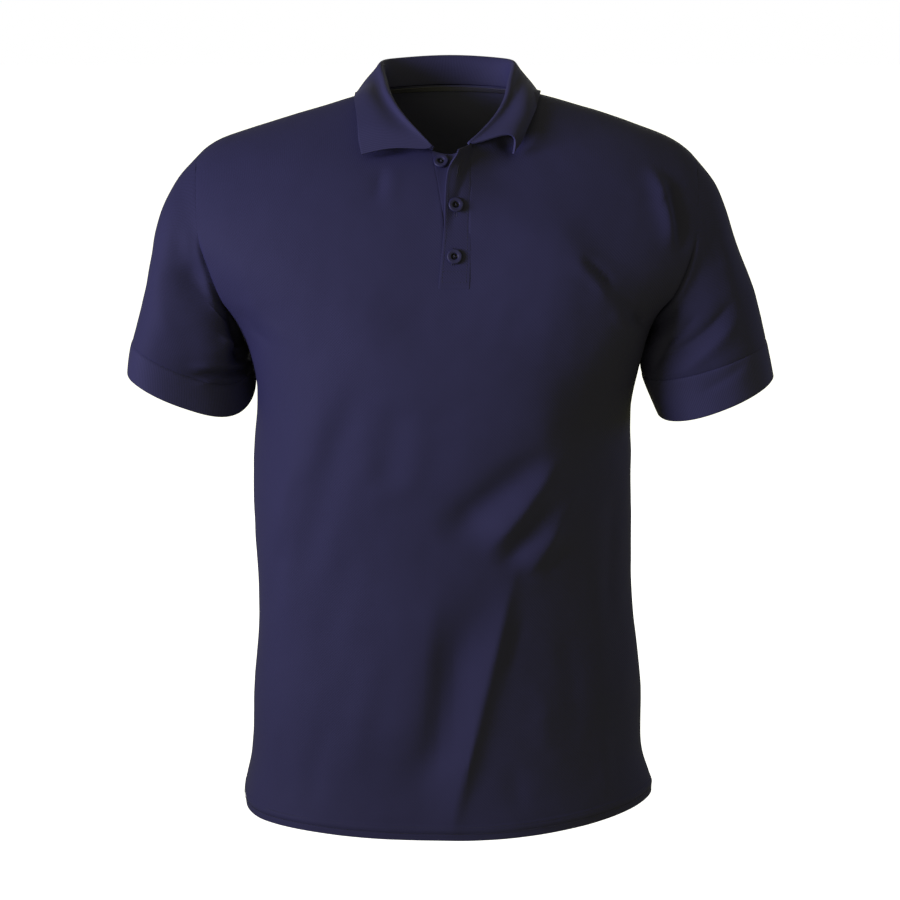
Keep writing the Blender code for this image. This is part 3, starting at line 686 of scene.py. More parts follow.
def flat_knit_rib():
    """Cotton rib, flat-knit and navy: fine upright ridges, a touch denser than the pique."""
    wale = 0.0018  # ridges are 1.2 mm apart, drawn half as far again so that they show
    material, tree, shader = new_finish("cotton_rib_flat_knit_navy", **KNITTED_COTTON)
    place = add(tree, "ShaderNodeTexCoord")
    spaced = add(tree, "ShaderNodeMapping", {
        "Vector": place.outputs["UV"], "Scale": (1 / wale, 1 / wale, 1 / wale),
    })
    # The wave pattern repeats every pi / 10 of its own scale, so this one repeats once a wale,
    # and the stitches across it five times in four wales.
    ridges = add(tree, "ShaderNodeTexWave", {
        "Vector": spaced.outputs["Vector"], "Scale": math.pi / 10, "Distortion": 0.35,
        "Detail": 1.0, "Detail Scale": 0.6,
    }, wave_type="BANDS", bands_direction="X", wave_profile="SIN")
    stitches = add(tree, "ShaderNodeTexWave", {
        "Vector": spaced.outputs["Vector"], "Scale": math.pi / 8, "Distortion": 0.5,
        "Detail": 1.0,
    }, wave_type="BANDS", bands_direction="Y", wave_profile="SIN")
    fibres = add(tree, "ShaderNodeTexNoise", {
        "Vector": place.outputs["UV"], "Scale": 2000.0, "Detail": 3.0, "Roughness": 0.6,
    })
    # The furrows between the ridges are painted darker, as painted shade, from the wave that raises
    # them.
    shaded = add(tree, "ShaderNodeMix", {
        "Factor": ridges.outputs["Fac"], "A": hex_colour("2b2a50"), "B": hex_colour("373660"),
    }, data_type="RGBA")
    tree.links.new(shaded.outputs["Result"], shader.inputs["Base Color"])
    fuzz = add(tree, "ShaderNodeBump", {
        "Height": fibres.outputs["Fac"], "Strength": 0.15, "Distance": 0.0002,
    })
    across = add(tree, "ShaderNodeBump", {
        "Height": stitches.outputs["Fac"], "Strength": 0.10, "Distance": 0.0002,
        "Normal": fuzz.outputs["Normal"],
    })
    upright = add(tree, "ShaderNodeBump", {
        "Height": ridges.outputs["Fac"], "Strength": 0.22, "Distance": 0.0003,
        "Normal": across.outputs["Normal"],
    })
    tree.links.new(upright.outputs["Normal"], shader.inputs["Normal"])
    return material


def cotton_tape():
    """Cotton twill tape, woven: slanting ribs and a paler, drier navy, partly by painted light."""
    rib = 0.0011  # between one slanting rib and the next
    material, tree, shader = new_finish(
        "cotton_twill_tape_woven_navy", Roughness=0.8, IOR=1.5, Specular_IOR_Level=0.4,
    )
    place = add(tree, "ShaderNodeTexCoord")
    slanted = add(tree, "ShaderNodeMapping", {
        "Vector": place.outputs["UV"], "Rotation": (0, 0, math.radians(58)),
        "Scale": (1 / rib, 1 / rib, 1 / rib),
    })
    twill = add(tree, "ShaderNodeTexWave", {
        "Vector": slanted.outputs["Vector"], "Scale": math.pi / 10, "Distortion": 0.3,
    }, wave_type="BANDS", bands_direction="X", wave_profile="SIN")
    # The pale navy is partly the tape's own and partly a painted highlight along the inside of the
    # back neck; the furrows between the ribs are painted darker, as painted shade.
    shaded = add(tree, "ShaderNodeMix", {
        "Factor": twill.outputs["Fac"], "A": hex_colour("484760"), "B": hex_colour("5b5a72"),
    }, data_type="RGBA")
    tree.links.new(shaded.outputs["Result"], shader.inputs["Base Color"])
    raised = add(tree, "ShaderNodeBump", {
        "Height": twill.outputs["Fac"], "Strength": 0.3, "Distance": 0.0002,
    })
    tree.links.new(raised.outputs["Normal"], shader.inputs["Normal"])
    return material


def sewing_thread():
    """Spun polyester thread, twisted: a slight gloss and fine slanting plies."""
    material, tree, shader = new_finish(
        "polyester_thread_twisted_navy", Roughness=0.5, IOR=1.55, Specular_IOR_Level=0.5,
    )
    place = add(tree, "ShaderNodeTexCoord")
    # The plies show every 0.9 mm along the thread.
    ply = add(tree, "ShaderNodeTexWave", {
        "Vector": place.outputs["Object"], "Scale": 700.0, "Distortion": 1.0,
    }, wave_type="BANDS", bands_direction="DIAGONAL", wave_profile="SIN")
    shaded = add(tree, "ShaderNodeMix", {
        "Factor": ply.outputs["Fac"], "A": hex_colour("1c1b38"), "B": hex_colour("282748"),
    }, data_type="RGBA")
    tree.links.new(shaded.outputs["Result"], shader.inputs["Base Color"])
    return material


def button_resin():
    """Polyester resin, cast and tumbled: satin, with faint clouds and fine rubbing marks."""
    material, tree, shader = new_finish(
        "polyester_resin_cast_navy", IOR=1.54, Specular_IOR_Level=0.28, Coat_Weight=0.03,
        Coat_Roughness=0.3,
    )
    place = add(tree, "ShaderNodeTexCoord")
    # Clouds in the resin are about 4 mm across.
    clouds = add(tree, "ShaderNodeTexNoise", {
        "Vector": place.outputs["Object"], "Scale": 260.0, "Detail": 3.0,
    })
    shaded = add(tree, "ShaderNodeMix", {
        "Factor": clouds.outputs["Fac"], "A": hex_colour("24234a"), "B": hex_colour("2e2d56"),
    }, data_type="RGBA")
    # The well inside the rim is painted near black, as painted shade in the hollow.
    flat = add(tree, "ShaderNodeVectorMath", {
        0: place.outputs["Object"], 1: (1, 1, 0),
    }, operation="MULTIPLY")
    from_middle = add(tree, "ShaderNodeVectorMath", {0: flat.outputs["Vector"]}, operation="LENGTH")
    rim = add(tree, "ShaderNodeMapRange", {
        "Value": from_middle.outputs["Value"], "From Min": 0.0028, "From Max": 0.0034,
    })
    turned = add(tree, "ShaderNodeMix", {
        "Factor": rim.outputs["Result"], "A": hex_colour("101022"), "B": shaded.outputs["Result"],
    }, data_type="RGBA")
    tree.links.new(turned.outputs["Result"], shader.inputs["Base Color"])
    # Tumbling leaves rubbing marks 0.4 mm across.
    rubbing = add(tree, "ShaderNodeTexNoise", {
        "Vector": place.outputs["Object"], "Scale": 2400.0, "Detail": 2.0,
    })
    rough = add(tree, "ShaderNodeMapRange", {
        "Value": rubbing.outputs["Fac"], "To Min": 0.42, "To Max": 0.55,
    })
    tree.links.new(rough.outputs["Result"], shader.inputs["Roughness"])
    return material


PIQUE, REVERSE, RIB, TAPE = cotton_pique(), pique_reverse(), flat_knit_rib(), cotton_tape()
THREAD, RESIN = sewing_thread(), button_resin()

# ---------------------------------------------------------------------------- sewing


def place_piece(piece, finish, nodes=()):
    """Puts a finished piece on the shirt."""
    piece.data.materials.append(finish)
    if finish is PIQUE:
        piece.data.materials.append(REVERSE)
    bpy.context.scene.collection.objects.link(piece)
    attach(piece, "root")
    if nodes:
        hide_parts(*nodes)
    return piece


def cloth(name, grid, measure, wall, finish, nodes=(), wrap=False, leave_out=(),
          inward=False, middle=False, thin=None):
    """A sheet of cloth through a grid of points, with its own length and width in metres as the
    pattern's measure. Wrap closes a tube, leave_out names squares that are cut out, inward turns
    the faces over, middle has the grid run in the middle of the wall and not on its face, and
    thin is the share of the wall at each point."""
    rows, columns = grid.shape[:2]
    around = range(columns if wrap else columns - 1)
    faces, corners = [], []
    for r in range(rows - 1):
        for c in around:
            if (r, c) in leave_out:
                continue
            d = (c + 1) % columns
            face = [(r, c, c), (r, d, c + 1), (r + 1, d, c + 1), (r + 1, c, c)]
            if inward:
                face.reverse()
            faces.append([row * columns + point for row, point, _ in face])
            corners += [(row, seam) for row, _, seam in face]
    mesh = bpy.data.meshes.new(name)
    mesh.from_pydata((grid.reshape(-1, 3) * MM).tolist(), [], faces)
    laid = mesh.uv_layers.new(name="cloth")
    laid.data.foreach_set("uv", np.array([measure[i] for i in corners]).ravel() * MM)
    mesh.shade_smooth()
    piece = bpy.data.objects.new(name, mesh)
    solid = piece.modifiers.new("thickness", "SOLIDIFY")
    solid.thickness = wall * MM
    solid.offset = 0.0 if middle else -1.0
    solid.material_offset = 1 if finish is PIQUE else 0
    if thin is not None:
        group = piece.vertex_groups.new(name="full_wall")
        for i, share in enumerate(thin.ravel()):
            group.add([i], float(share), "REPLACE")
        solid.vertex_group = group.name
    # Rib and tape have rounder edges than pique, whose edges lie turned under.
    worn = piece.modifiers.new("soft_edge", "BEVEL")
    worn.width = wall * (0.12 if finish is PIQUE else 0.28) * MM
    worn.segments = 2
    worn.limit_method = "ANGLE"
    worn.angle_limit = math.radians(60)
    bm = bmesh.new()
    bm.from_mesh(mesh)
    bmesh.ops.delete(bm, geom=[v for v in bm.verts if not v.link_faces], context="VERTS")
    bm.to_mesh(mesh)
    bm.free()
    return place_piece(piece, finish, nodes)


# One stitch, a row per ring along it: how fat the ring is, how far its middle is lifted.
STITCH = ((0.25, -0.5), (0.85, 0.2), (1, 0.42), (0.85, 0.2), (0.25, -0.5))
STITCH_SIDES = 6


def thread(name, lines, pitch, long, thick):
    """Stitches along lines of points with the cloth's direction out at each, as short rounded
    grains that dive into the cloth at both ends."""
    points, faces = [], []
    sides = range(STITCH_SIDES)
    for path, out in lines:
        far = np.concatenate([[0], np.cumsum(np.linalg.norm(np.diff(path, axis=0), axis=1))])
        count = max(1, int(far[-1] / pitch))
        for middle in (np.arange(count) + 0.5) * far[-1] / count:
            at = np.linspace(middle - long / 2, middle + long / 2, len(STITCH))
            spine = np.stack([np.interp(at, far, path[:, k]) for k in range(3)], axis=1)
            up = unit(np.array([np.interp(middle, far, out[:, k]) for k in range(3)]))
            ahead = unit(spine[-1] - spine[0])
            aside = unit(np.cross(ahead, up))
            first = len(points)
            for j, (fat, lift) in enumerate(STITCH):
                ring = len(points)
                for k in sides:
                    a = k * 2 * math.pi / STITCH_SIDES
                    spoke = aside * math.cos(a) + up * math.sin(a)
                    points.append(spine[j] + up * thick * lift + spoke * thick / 2 * fat)
                if j:
                    back = ring - STITCH_SIDES
                    for k in sides:
                        after = (k + 1) % STITCH_SIDES
                        faces.append((back + k, back + after, ring + after, ring + k))
            faces += [tuple(first + k for k in reversed(sides)), tuple(ring + k for k in sides)]
    mesh = bpy.data.meshes.new(name)
    mesh.from_pydata((np.array(points) * MM).tolist(), [], faces)
    mesh.shade_smooth()
    return place_piece(bpy.data.objects.new(name, mesh), THREAD)


def ends_closer(count, near=(0.0045, 0.011, 0.020)):
    """Shares from 0 to 1, even but for a few extra ones close to both ends."""
    even = np.linspace(0, 1, count)[1:-1]
    even = even[(even > near[-1] * 1.2) & (even < 1 - near[-1] * 1.2)]
    near = np.array(near)
    return np.concatenate([[0], near, even, 1 - near[::-1], [1]])


def panel_edge(level):
    """The angle, from the middle, at which a panel ends: a seam or the armhole."""
    near = (level - HOLE_MIDDLE) / HOLE_HALF
    cut = ARMHOLE_CUT * math.sqrt(1 - near * near) if abs(near) < 1 else 0.0
    return 90.0 - cut


def panel_levels(step):
    """Levels about a step apart up the middle front, closer at the hem and armhole ends."""
    fine = np.linspace(HEM, NECK, 2000)
    path = bare_body(np.zeros_like(fine), fine)
    far = lengths(path[:, None], 0)[:, 0]
    levels = np.interp(np.linspace(0, far[-1], int(far[-1] / step)), far, fine)
    # The armhole's ends and the hem's stitching need levels of their own.
    hole, _ = around_armhole(np.array([0, 4, 8, 14, 20, 160, 166, 172, 176, 180]))
    hem = [0.012, 0.03, 0.05, 0.058, 0.066, 0.074, 0.085, 0.115, 0.125, 0.135, 0.142, 0.150]
    extra = np.concatenate([hole, hem])
    kept = [v for v in levels if np.abs(extra - v).min() > 0.012 or v in (HEM, NECK)]
    return np.sort(np.concatenate([kept, extra]))


def panel(levels, angles, back=False):
    """A panel's points, sunk in along its side, armhole and shoulder seams."""
    level = np.repeat(levels[:, None], angles.shape[1], axis=1)
    smooth_grid = body(angles, level)
    out = body_normal(angles, level)
    swell = hem_relief(level)
    moved = np.zeros_like(smooth_grid)
    calm = np.ones_like(level)
    between = (levels >= UNDERARM - 1e-6) & (levels <= SHOULDER + 1e-6)
    height = (levels[between] - HOLE_MIDDLE) / HOLE_HALF
    turns = np.degrees(np.arccos(np.clip(height, -1, 1)))
    turns = 360 - turns if back else turns
    for column_number in (0, -1):
        edge = smooth_grid[:, column_number]
        seam = np.concatenate([edge[levels < UNDERARM], edge[levels > SHOULDER]])
        away, _ = nearest(smooth_grid, seam)
        swell -= SEAM_DEEP * np.exp(-((away / SEAM_WIDE) ** 2))
        away, number = nearest(smooth_grid, edge[between])
        calm *= 1 - np.exp(-((away / CALM_BY_SEAM) ** 2))
        side = 1 if edge[len(levels) // 2, 0] > 0 else -1
        moved += by_armhole(side, away, np.interp(number, np.arange(len(turns)), turns))
    swell += unevenness(smooth_grid) * calm
    return smooth_grid + out * swell[..., None] + moved, out


def sewn_under(grid, out):
    """Adds a strip of seam allowance that turns in past both side edges of a panel."""
    first, last = grid[:, :1] - out[:, :1] * ALLOWANCE, grid[:, -1:] - out[:, -1:] * ALLOWANCE
    return np.concatenate([first, grid, last], axis=1)


def cloth_measure(grid):
    """Distance along the cloth across and up from the grid's middle column and first row."""
    across = lengths(grid, 1)
    across = across - across[:, grid.shape[1] // 2][:, None]
    up = lengths(grid, 0)[:, grid.shape[1] // 2][:, None]
    return np.stack([across, np.broadcast_to(up, across.shape)], axis=-1)


def measure_lookup(measure):
    """The pattern's measure by row and column. A tube's has one more column, to close it."""
    rows, columns = measure.shape[:2]
    return {(r, c): measure[r, c] for r in range(rows) for c in range(columns)}


# ---------------------------------------------------------------------------- front and back

OPENING_COLUMNS = 5  # of the front's grid, left out above the placket's foot

levels = panel_levels(3.6)
placket_foot = level_at(PLACKET_END)
levels[np.argmin(np.abs(levels - placket_foot))] = placket_foot
shares = ends_closer(78)
angle_rows, opening = [], set()
for r, level in enumerate(levels):
    height = float(np.clip(column(BODY, 6, level), PLACKET_END, PLACKET_TOP))
    left, right = (angle_at(float(column_down(PLACKET, n, height)), level) for n in (1, 2))
    edge = panel_edge(level)
    angle_rows.append(np.concatenate([
        -edge + (left + edge) * shares,
        np.linspace(left, right, OPENING_COLUMNS + 1)[1:-1],
        right + (edge - right) * shares,
    ]))
    # The seam allowance comes to lie before these columns.
    if level >= placket_foot and r < len(levels) - 1:
        opening |= {(r, len(shares) + k) for k in range(OPENING_COLUMNS)}
front_grid, front_out = panel(levels, np.array(angle_rows))
front_grid = sewn_under(front_grid, front_out)
# Above the turned-up hem, the wall is one layer.
hem_share = np.where(levels < HEM_FOLD, 1.0, PIQUE_WALL / HEM_WALL)
front = cloth(
    "front_panel", front_grid, measure_lookup(cloth_measure(front_grid)), HEM_WALL, PIQUE,
    ["front"], leave_out=opening,
    thin=np.repeat(hem_share[:, None], front_grid.shape[1], axis=1),
)

shares = ends_closer(104, near=(0.0025, 0.006, 0.011))
edges = np.array([panel_edge(level) for level in levels])
back_angles = 180 - edges[:, None] + 2 * edges[:, None] * shares[None, :]
back_grid, back_out = panel(levels, back_angles, back=True)
back_grid = sewn_under(back_grid, back_out)
back = cloth(
    "back_panel", back_grid, measure_lookup(cloth_measure(back_grid)), HEM_WALL, PIQUE,
    ["back"],
    thin=np.repeat(hem_share[:, None], back_grid.shape[1], axis=1),
)

# ---------------------------------------------------------------------------- sleeves

TURN_STEP = 2.5  # degrees between the columns round a sleeve
TURNS = np.arange(0, 360, TURN_STEP)


def sleeve_cloth(side, stops):
    """A sleeve's points with their creases, and the direction out at each."""
    grid = sleeve(side, TURNS[None, :], stops[:, None])
    out = grid_normals(grid, wrap=True) * (1 if side > 0 else -1)
    on_front = smooth(-out[..., 1] * 2.2 + 0.25)
    on_back = smooth(out[..., 1] * 2.2 + 0.1)
    # Between the armhole and the cuff, the inner side lies flat against the body.
    near_body = np.exp(-(((TURNS - 180) / 42) ** 2))[None, :]
    pressed = smooth(stops / 0.12) * smooth((0.85 - stops) / 0.3)
    grid[..., 0] -= side * PRESSED[side] * near_body * pressed[:, None]
    creases_front, creases_back = SLEEVE_CREASES[side]
    fold = relief(grid[..., 0], grid[..., 2], creases_front) * on_front
    fold += relief(grid[..., 0], grid[..., 2], creases_back) * on_back
    away = np.linalg.norm(grid - sleeve(side, TURNS, 0.0), axis=-1)
    fold = (fold + unevenness(grid)) * (1 - np.exp(-((away / CALM_BY_SEAM) ** 2)))
    return grid + out * fold[..., None], out


def tube_measure(grid):
    """Distance round and along a tube, with one more column to close it."""
    closed = np.concatenate([grid, grid[:, :1]], axis=1)
    around = lengths(closed, 1)
    middle = around[len(around) // 2][None, :]
    along = lengths(closed, 0).mean(axis=1)[:, None]
    shape = around.shape
    return measure_lookup(np.stack([np.broadcast_to(middle, shape),
                                    np.broadcast_to(along, shape)], axis=-1))


for side, label in ((-1, "right"), (1, "left")):
    stops = np.concatenate([[0, 0.008, 0.018, 0.03, 0.045], np.linspace(0.06, CUFF_SEAM, 74)])
    grid, out = sleeve_cloth(side, stops)
    closed = np.concatenate([grid[0], grid[0, :1]])
    away, number = nearest(grid, closed)
    grid = grid + by_armhole(side, away, number * TURN_STEP)
    last = np.linalg.norm(grid - grid[-1:], axis=-1)
    grid = grid - out * (TUCKED_IN * np.exp(-((last / TUCK_WIDE) ** 2)))[..., None]
    grid = np.concatenate([grid[:1] - out[:1] * ALLOWANCE, grid], axis=0)
    tube = cloth(
        label + "_sleeve", grid, tube_measure(grid), PIQUE_WALL, PIQUE,
        ["sleeve_" + label], wrap=True, inward=side < 0,
    )

    stops = np.concatenate([
        [CUFF_SEAM - 0.004, CUFF_SEAM + 0.004, CUFF_SEAM + 0.012, CUFF_SEAM + 0.022],
        np.linspace(CUFF_SEAM + 0.035, SLEEVE_END, 16),
    ])
    grid, out = sleeve_cloth(side, stops)
    proud = CUFF_PROUD * smooth(np.arange(len(stops)) / 3.0)
    proud[0] = -TUCKED_IN
    grid = grid + out * proud[:, None, None]
    cuff = cloth(
        label + "_cuff", grid, tube_measure(grid), RIB_WALL, RIB,
        ["cuff_" + label], wrap=True, inward=side < 0,
    )

# ---------------------------------------------------------------------------- collar


def above_body(points, clear, reach=40.0):
    """The points within reach of the body, moved out to keep clear of it."""
    angles, heights = np.meshgrid(np.arange(-180, 180, 2.0), np.arange(4.6, 8.21, 0.04))
    ground = body(angles, heights, creased=False).reshape(-1, 3)
    away = body_normal(angles, heights).reshape(-1, 3)
    distance, number = nearest(points, ground)
    number = np.rint(number).astype(int)
    short = clear - np.sum((points - ground[number]) * away[number], axis=-1)
    move = np.where((short > 0) & (distance < reach), short, 0.0)
    return points + away[number] * move[..., None]


def collar_points(across, up):
    """The collar's middle surface: across 0 to 1 round the neck, up 0 at the seam to 1 at
    the outer edge, with the fold between."""
    stations = np.linspace(0, 1, len(COLLAR))
    guide = [curve(stations, [row[n] for row in COLLAR], across) for n in range(9)]
    seam = body(guide[0], np.full_like(across, NECK), creased=False)
    rim = unit(seam - body(guide[0], np.full_like(across, NECK - 0.06), creased=False))
    seam = seam + rim * (COLLAR_SEAM_GAP + RIB_WALL / 2)
    seam = seam - body_normal(guide[0], np.full_like(across, NECK)) * COLLAR_SET_IN
    fold = np.stack(guide[1:4], axis=-1)
    edge = np.stack(guide[4:7], axis=-1)
    radius = guide[7][:, None]
    away = edge - fold
    away[:, 2] = 0
    away = unit(away)
    upward = np.array([0.0, 0.0, 1.0])
    inner = fold - away * radius - upward * radius
    outer = fold + away * radius - upward * radius
    swell = unit(away + upward * 0.9) * guide[8][:, None]
    # Up the stand, over the fold and down the fall, which arches.
    knots = [
        seam,
        seam + (inner - seam) * 0.55 - away * 0.3 * radius,
        inner,
        fold,
        outer,
        outer + (edge - outer) * 0.35 + swell * 0.85,
        outer + (edge - outer) * 0.7 + swell * 0.95,
        edge,
    ]
    stops = (0.0, 0.13, 0.25, 0.32, FALL_FROM, 0.58, 0.79, 1.0)
    grid = np.empty((len(up), len(across), 3))
    for i in range(len(across)):
        for axis in range(3):
            grid[:, i, axis] = curve(stops, [knot[i, axis] for knot in knots], up)
    fall = up > FALL_FROM
    grid[fall] = above_body(grid[fall], COLLAR_CLEAR)
    return grid


across = np.linspace(0, 1, 181)
up = np.concatenate([np.linspace(0, 0.22, 9), np.linspace(0.245, 0.43, 15),
                     np.linspace(0.455, 1.0, 24)])
collar_grid = collar_points(across, up)
collar_measure = np.stack([
    np.broadcast_to(lengths(collar_grid, 1).mean(axis=0)[None, :], collar_grid.shape[:2]),
    np.broadcast_to(lengths(collar_grid, 0).mean(axis=1)[:, None], collar_grid.shape[:2]),
], axis=-1)
collar = cloth(
    "rib_collar", collar_grid, measure_lookup(collar_measure), RIB_WALL, RIB,
    ["collar"], middle=True,
)

# ---------------------------------------------------------------------------- placket


def band_rows(top, count, columns):
    """A placket band's points: rows up its length, columns from its free or left edge."""
    rows = []
    for height in np.linspace(PLACKET_END - BAND_BELOW, BANDS_TOP, count):
        left, right, free, away, turn = (float(column_down(PLACKET, n, height))
                                         for n in (1, 2, 3, 4, 5))
        levels = np.full(columns, level_at(height))
        if top:
            share = np.linspace(1, 0, columns) ** 1.15
            xs = right + BAND_OVER + (free - right - BAND_OVER) * share
            slant = BAND_SLANT * smooth((height - BANDS_TOP) / SLANT_LONG + 1)
            levels = np.array([level_at(height - slant * part) for part in share])
            # Flush at its sewn edge and foot, and on the under band elsewhere.
            opened = np.clip((turn - xs) / (turn - free), 0.0, 1.0)
            lap = smooth((right + BAND_OVER - xs) / 9.0)
            lap = lap * smooth((height - PLACKET_END + BAND_BELOW) / 10.0)
            out = -0.06 + 0.2 * np.minimum(1.0, lap * 4) + BAND_LIFT * lap * share
            out += away * opened**1.2
        else:
            # It slopes in behind the top band.
            xs = np.linspace(left + 0.1, UNDER_BAND_EDGE, columns)
            out = np.linspace(-0.05, -2.4, columns)
        angles = np.array([angle_at(x, level) for x, level in zip(xs, levels)])
        rows.append(body(angles, levels, out, creased=False))
    return np.array(rows)


top_grid = band_rows(True, 64, 17)
top_out = grid_normals(top_grid)
top_band = cloth(
    "top_band", top_grid, measure_lookup(cloth_measure(top_grid)), BAND_WALL, PIQUE,
    ["placket_top"],
)
under_grid = band_rows(False, 64, 13)
under_band = cloth(
    "under_band", under_grid, measure_lookup(cloth_measure(under_grid)), BAND_WALL, PIQUE,
    ["placket_under"],
)

# ---------------------------------------------------------------------------- neck tape

TAPE_BEHIND = 0.9  # the seam allowances that the tape covers, between it and the back

arc = np.linspace(104, 256, 61)
tape_levels = np.linspace(NECK - 0.16, NECK - 0.02, 6)
tape_grid = body(arc[None, :], tape_levels[:, None], -PIQUE_WALL - TAPE_BEHIND, creased=False)
tape = cloth(
    "back_neck_tape", tape_grid, measure_lookup(cloth_measure(tape_grid)), TAPE_WALL, TAPE,
    ["neck_tape"],
)

# ---------------------------------------------------------------------------- stitching

STITCHED_HALF = 89.3  # degrees of hem stitching each side of the front's and back's middles
PROUD = 0.05  # how far a line of stitching lies off the cloth
STITCHED_UP = (0.08, 0.84)  # shares of the top band's width
STITCHED_ACROSS = (3, 8)  # rows of the top band
# Middle x, z of each buttonhole; then the holes' length, how near to the slit their stitches
# begin, how far from it they end, and how far apart they are.
BUTTONHOLES = ((8.2, -66.0), (5.2, -101.5), (4.0, -147.8))
HOLE_LONG, HOLE_NEAR, HOLE_FAR, HOLE_STEP = 17.0, 0.35, 1.65, 0.55


def on_body(angles, level, out):
    """A line of stitching on the body, with the direction out at each point."""
    at = np.full(len(angles), float(level))
    return body(angles, at, out), body_normal(angles, at)


hem_lines = []
for row in HEM_ROWS:
    for middle in (0, 180):
        round_by = np.linspace(middle - STITCHED_HALF, middle + STITCHED_HALF, 260)
        hem_lines.append(on_body(round_by, row, 0.12))
thread("hem_stitching", hem_lines, pitch=3.2, long=2.7, thick=0.55)


def along_band(inset):
    """A line of stitching up the top band, a share of its width in from the free edge."""
    place = inset * (top_grid.shape[1] - 1)
    low, share = int(place), place - int(place)
    rows = slice(STITCHED_ACROSS[0], None)
    line = top_grid[rows, low] * (1 - share) + top_grid[rows, low + 1] * share
    out = top_out[rows, low] * (1 - share) + top_out[rows, low + 1] * share
    return line + out * PROUD, out


band_lines = [along_band(inset) for inset in STITCHED_UP]
for row in STITCHED_ACROSS:
    out = top_out[row, 1:-1]
    band_lines.append((top_grid[row, 1:-1] + out * PROUD, out))
thread("placket_stitching", band_lines, pitch=2.9, long=2.3, thick=0.34)

tape_lines = []
for row in (0, -1):
    inward = -body_normal(arc, np.full(len(arc), tape_levels[row]))
    tape_lines.append((tape_grid[row] + inward * (TAPE_WALL + PROUD), inward))
thread("tape_stitching", tape_lines, pitch=3.0, long=2.5, thick=0.5)


def frame_on_band(x, z):
    """A point on the top band at x, z, with the directions across, up and out."""
    spot = np.argmin((top_grid[..., 0] - x) ** 2 + (top_grid[..., 2] - z) ** 2)
    r, c = np.unravel_index(spot, top_grid.shape[:2])
    r, c = np.clip(r, 1, top_grid.shape[0] - 2), np.clip(c, 1, top_grid.shape[1] - 2)
    out = top_out[r, c]
    up = unit(top_grid[r + 1, c] - top_grid[r - 1, c])
    return top_grid[r, c], unit(np.cross(up, out)), up, out


hole_lines = []
for x, z in BUTTONHOLES:
    middle, aside, up_band, out = frame_on_band(x, z)
    for step in np.arange(-HOLE_LONG / 2, HOLE_LONG / 2 + 0.01, HOLE_STEP):
        for edge in (-1, 1):
            start, end = (middle + up_band * step + aside * edge * reach + out * 0.02
                          for reach in (HOLE_NEAR, HOLE_FAR))
            hole_lines.append((np.array([start, end]), np.array([out, out])))
thread("buttonholes", hole_lines, pitch=1.3, long=1.35, thick=0.5)

# ---------------------------------------------------------------------------- buttons

HOLE_RADIUS, HOLE_OUT = 0.95, 1.75  # of each of the four holes, and its distance from the middle
THREAD_SUNK, THREADS_APART = 1.75, 0.28  # below the rim, and half the gap between two threads
# Radius and height from the well's middle, over the raised rim, to the middle of the back.
TOP = BUTTON_THICK
BUTTON_PROFILE = (
    (0, TOP - 2.1), (2.6, TOP - 2.1), (2.95, TOP - 1.8), (3.2, TOP - 0.8), (3.7, TOP - 0.35),
    (4.6, TOP - 0.25), (5.6, TOP - 0.12), (6.3, TOP), (6.9, TOP - 0.4),
    (BUTTON_WIDE / 2, TOP - 1.1), (BUTTON_WIDE / 2, 1.1), (6.8, 0.45), (5.6, 0), (0, 0),
)


def button_body(name):
    """A four-hole button with a raised rim and a dished middle, lying on its back."""
    mesh = bpy.data.meshes.new(name)
    mesh.from_pydata([(r * MM, 0, h * MM) for r, h in BUTTON_PROFILE],
                     [(i, i + 1) for i in range(len(BUTTON_PROFILE) - 1)], [])
    piece = bpy.data.objects.new(name, mesh)
    turned = piece.modifiers.new("turned", "SCREW")
    turned.steps = turned.render_steps = 64
    turned.use_merge_vertices = True
    turned.merge_threshold = 0.00001
    turned.use_normal_calculate = True
    hole_mesh = bpy.data.meshes.new(name + "_holes")
    bm = bmesh.new()
    for k in range(4):
        a = math.radians(45 + 90 * k)
        spot = Vector((math.cos(a) * HOLE_OUT, math.sin(a) * HOLE_OUT, TOP / 2)) * MM
        bmesh.ops.create_cone(bm, cap_ends=True, segments=20, radius1=HOLE_RADIUS * MM,
                              radius2=HOLE_RADIUS * MM, depth=TOP * 2 * MM,
                              matrix=Matrix.Translation(spot))
    bm.to_mesh(hole_mesh)
    bm.free()
    drill = bpy.data.objects.new(name + "_holes", hole_mesh)
    bpy.context.scene.collection.objects.link(drill)
    drilled = piece.modifiers.new("drilled", "BOOLEAN")
    drilled.object = drill
    drilled.solver = "EXACT"
    bpy.context.scene.collection.objects.link(piece)
    seen = piece.evaluated_get(bpy.context.evaluated_depsgraph_get())
    made = bpy.data.meshes.new_from_object(seen)
    piece.modifiers.clear()
    piece.data = made
    bpy.context.scene.collection.objects.unlink(piece)
    bpy.data.objects.remove(drill)
    made.materials.clear()
    made.shade_smooth()
    edge = piece.modifiers.new("rounded", "BEVEL")
    edge.width = 0.12 * MM
    edge.segments = 2
    edge.limit_method = "ANGLE"
    edge.angle_limit = math.radians(50)
    return piece


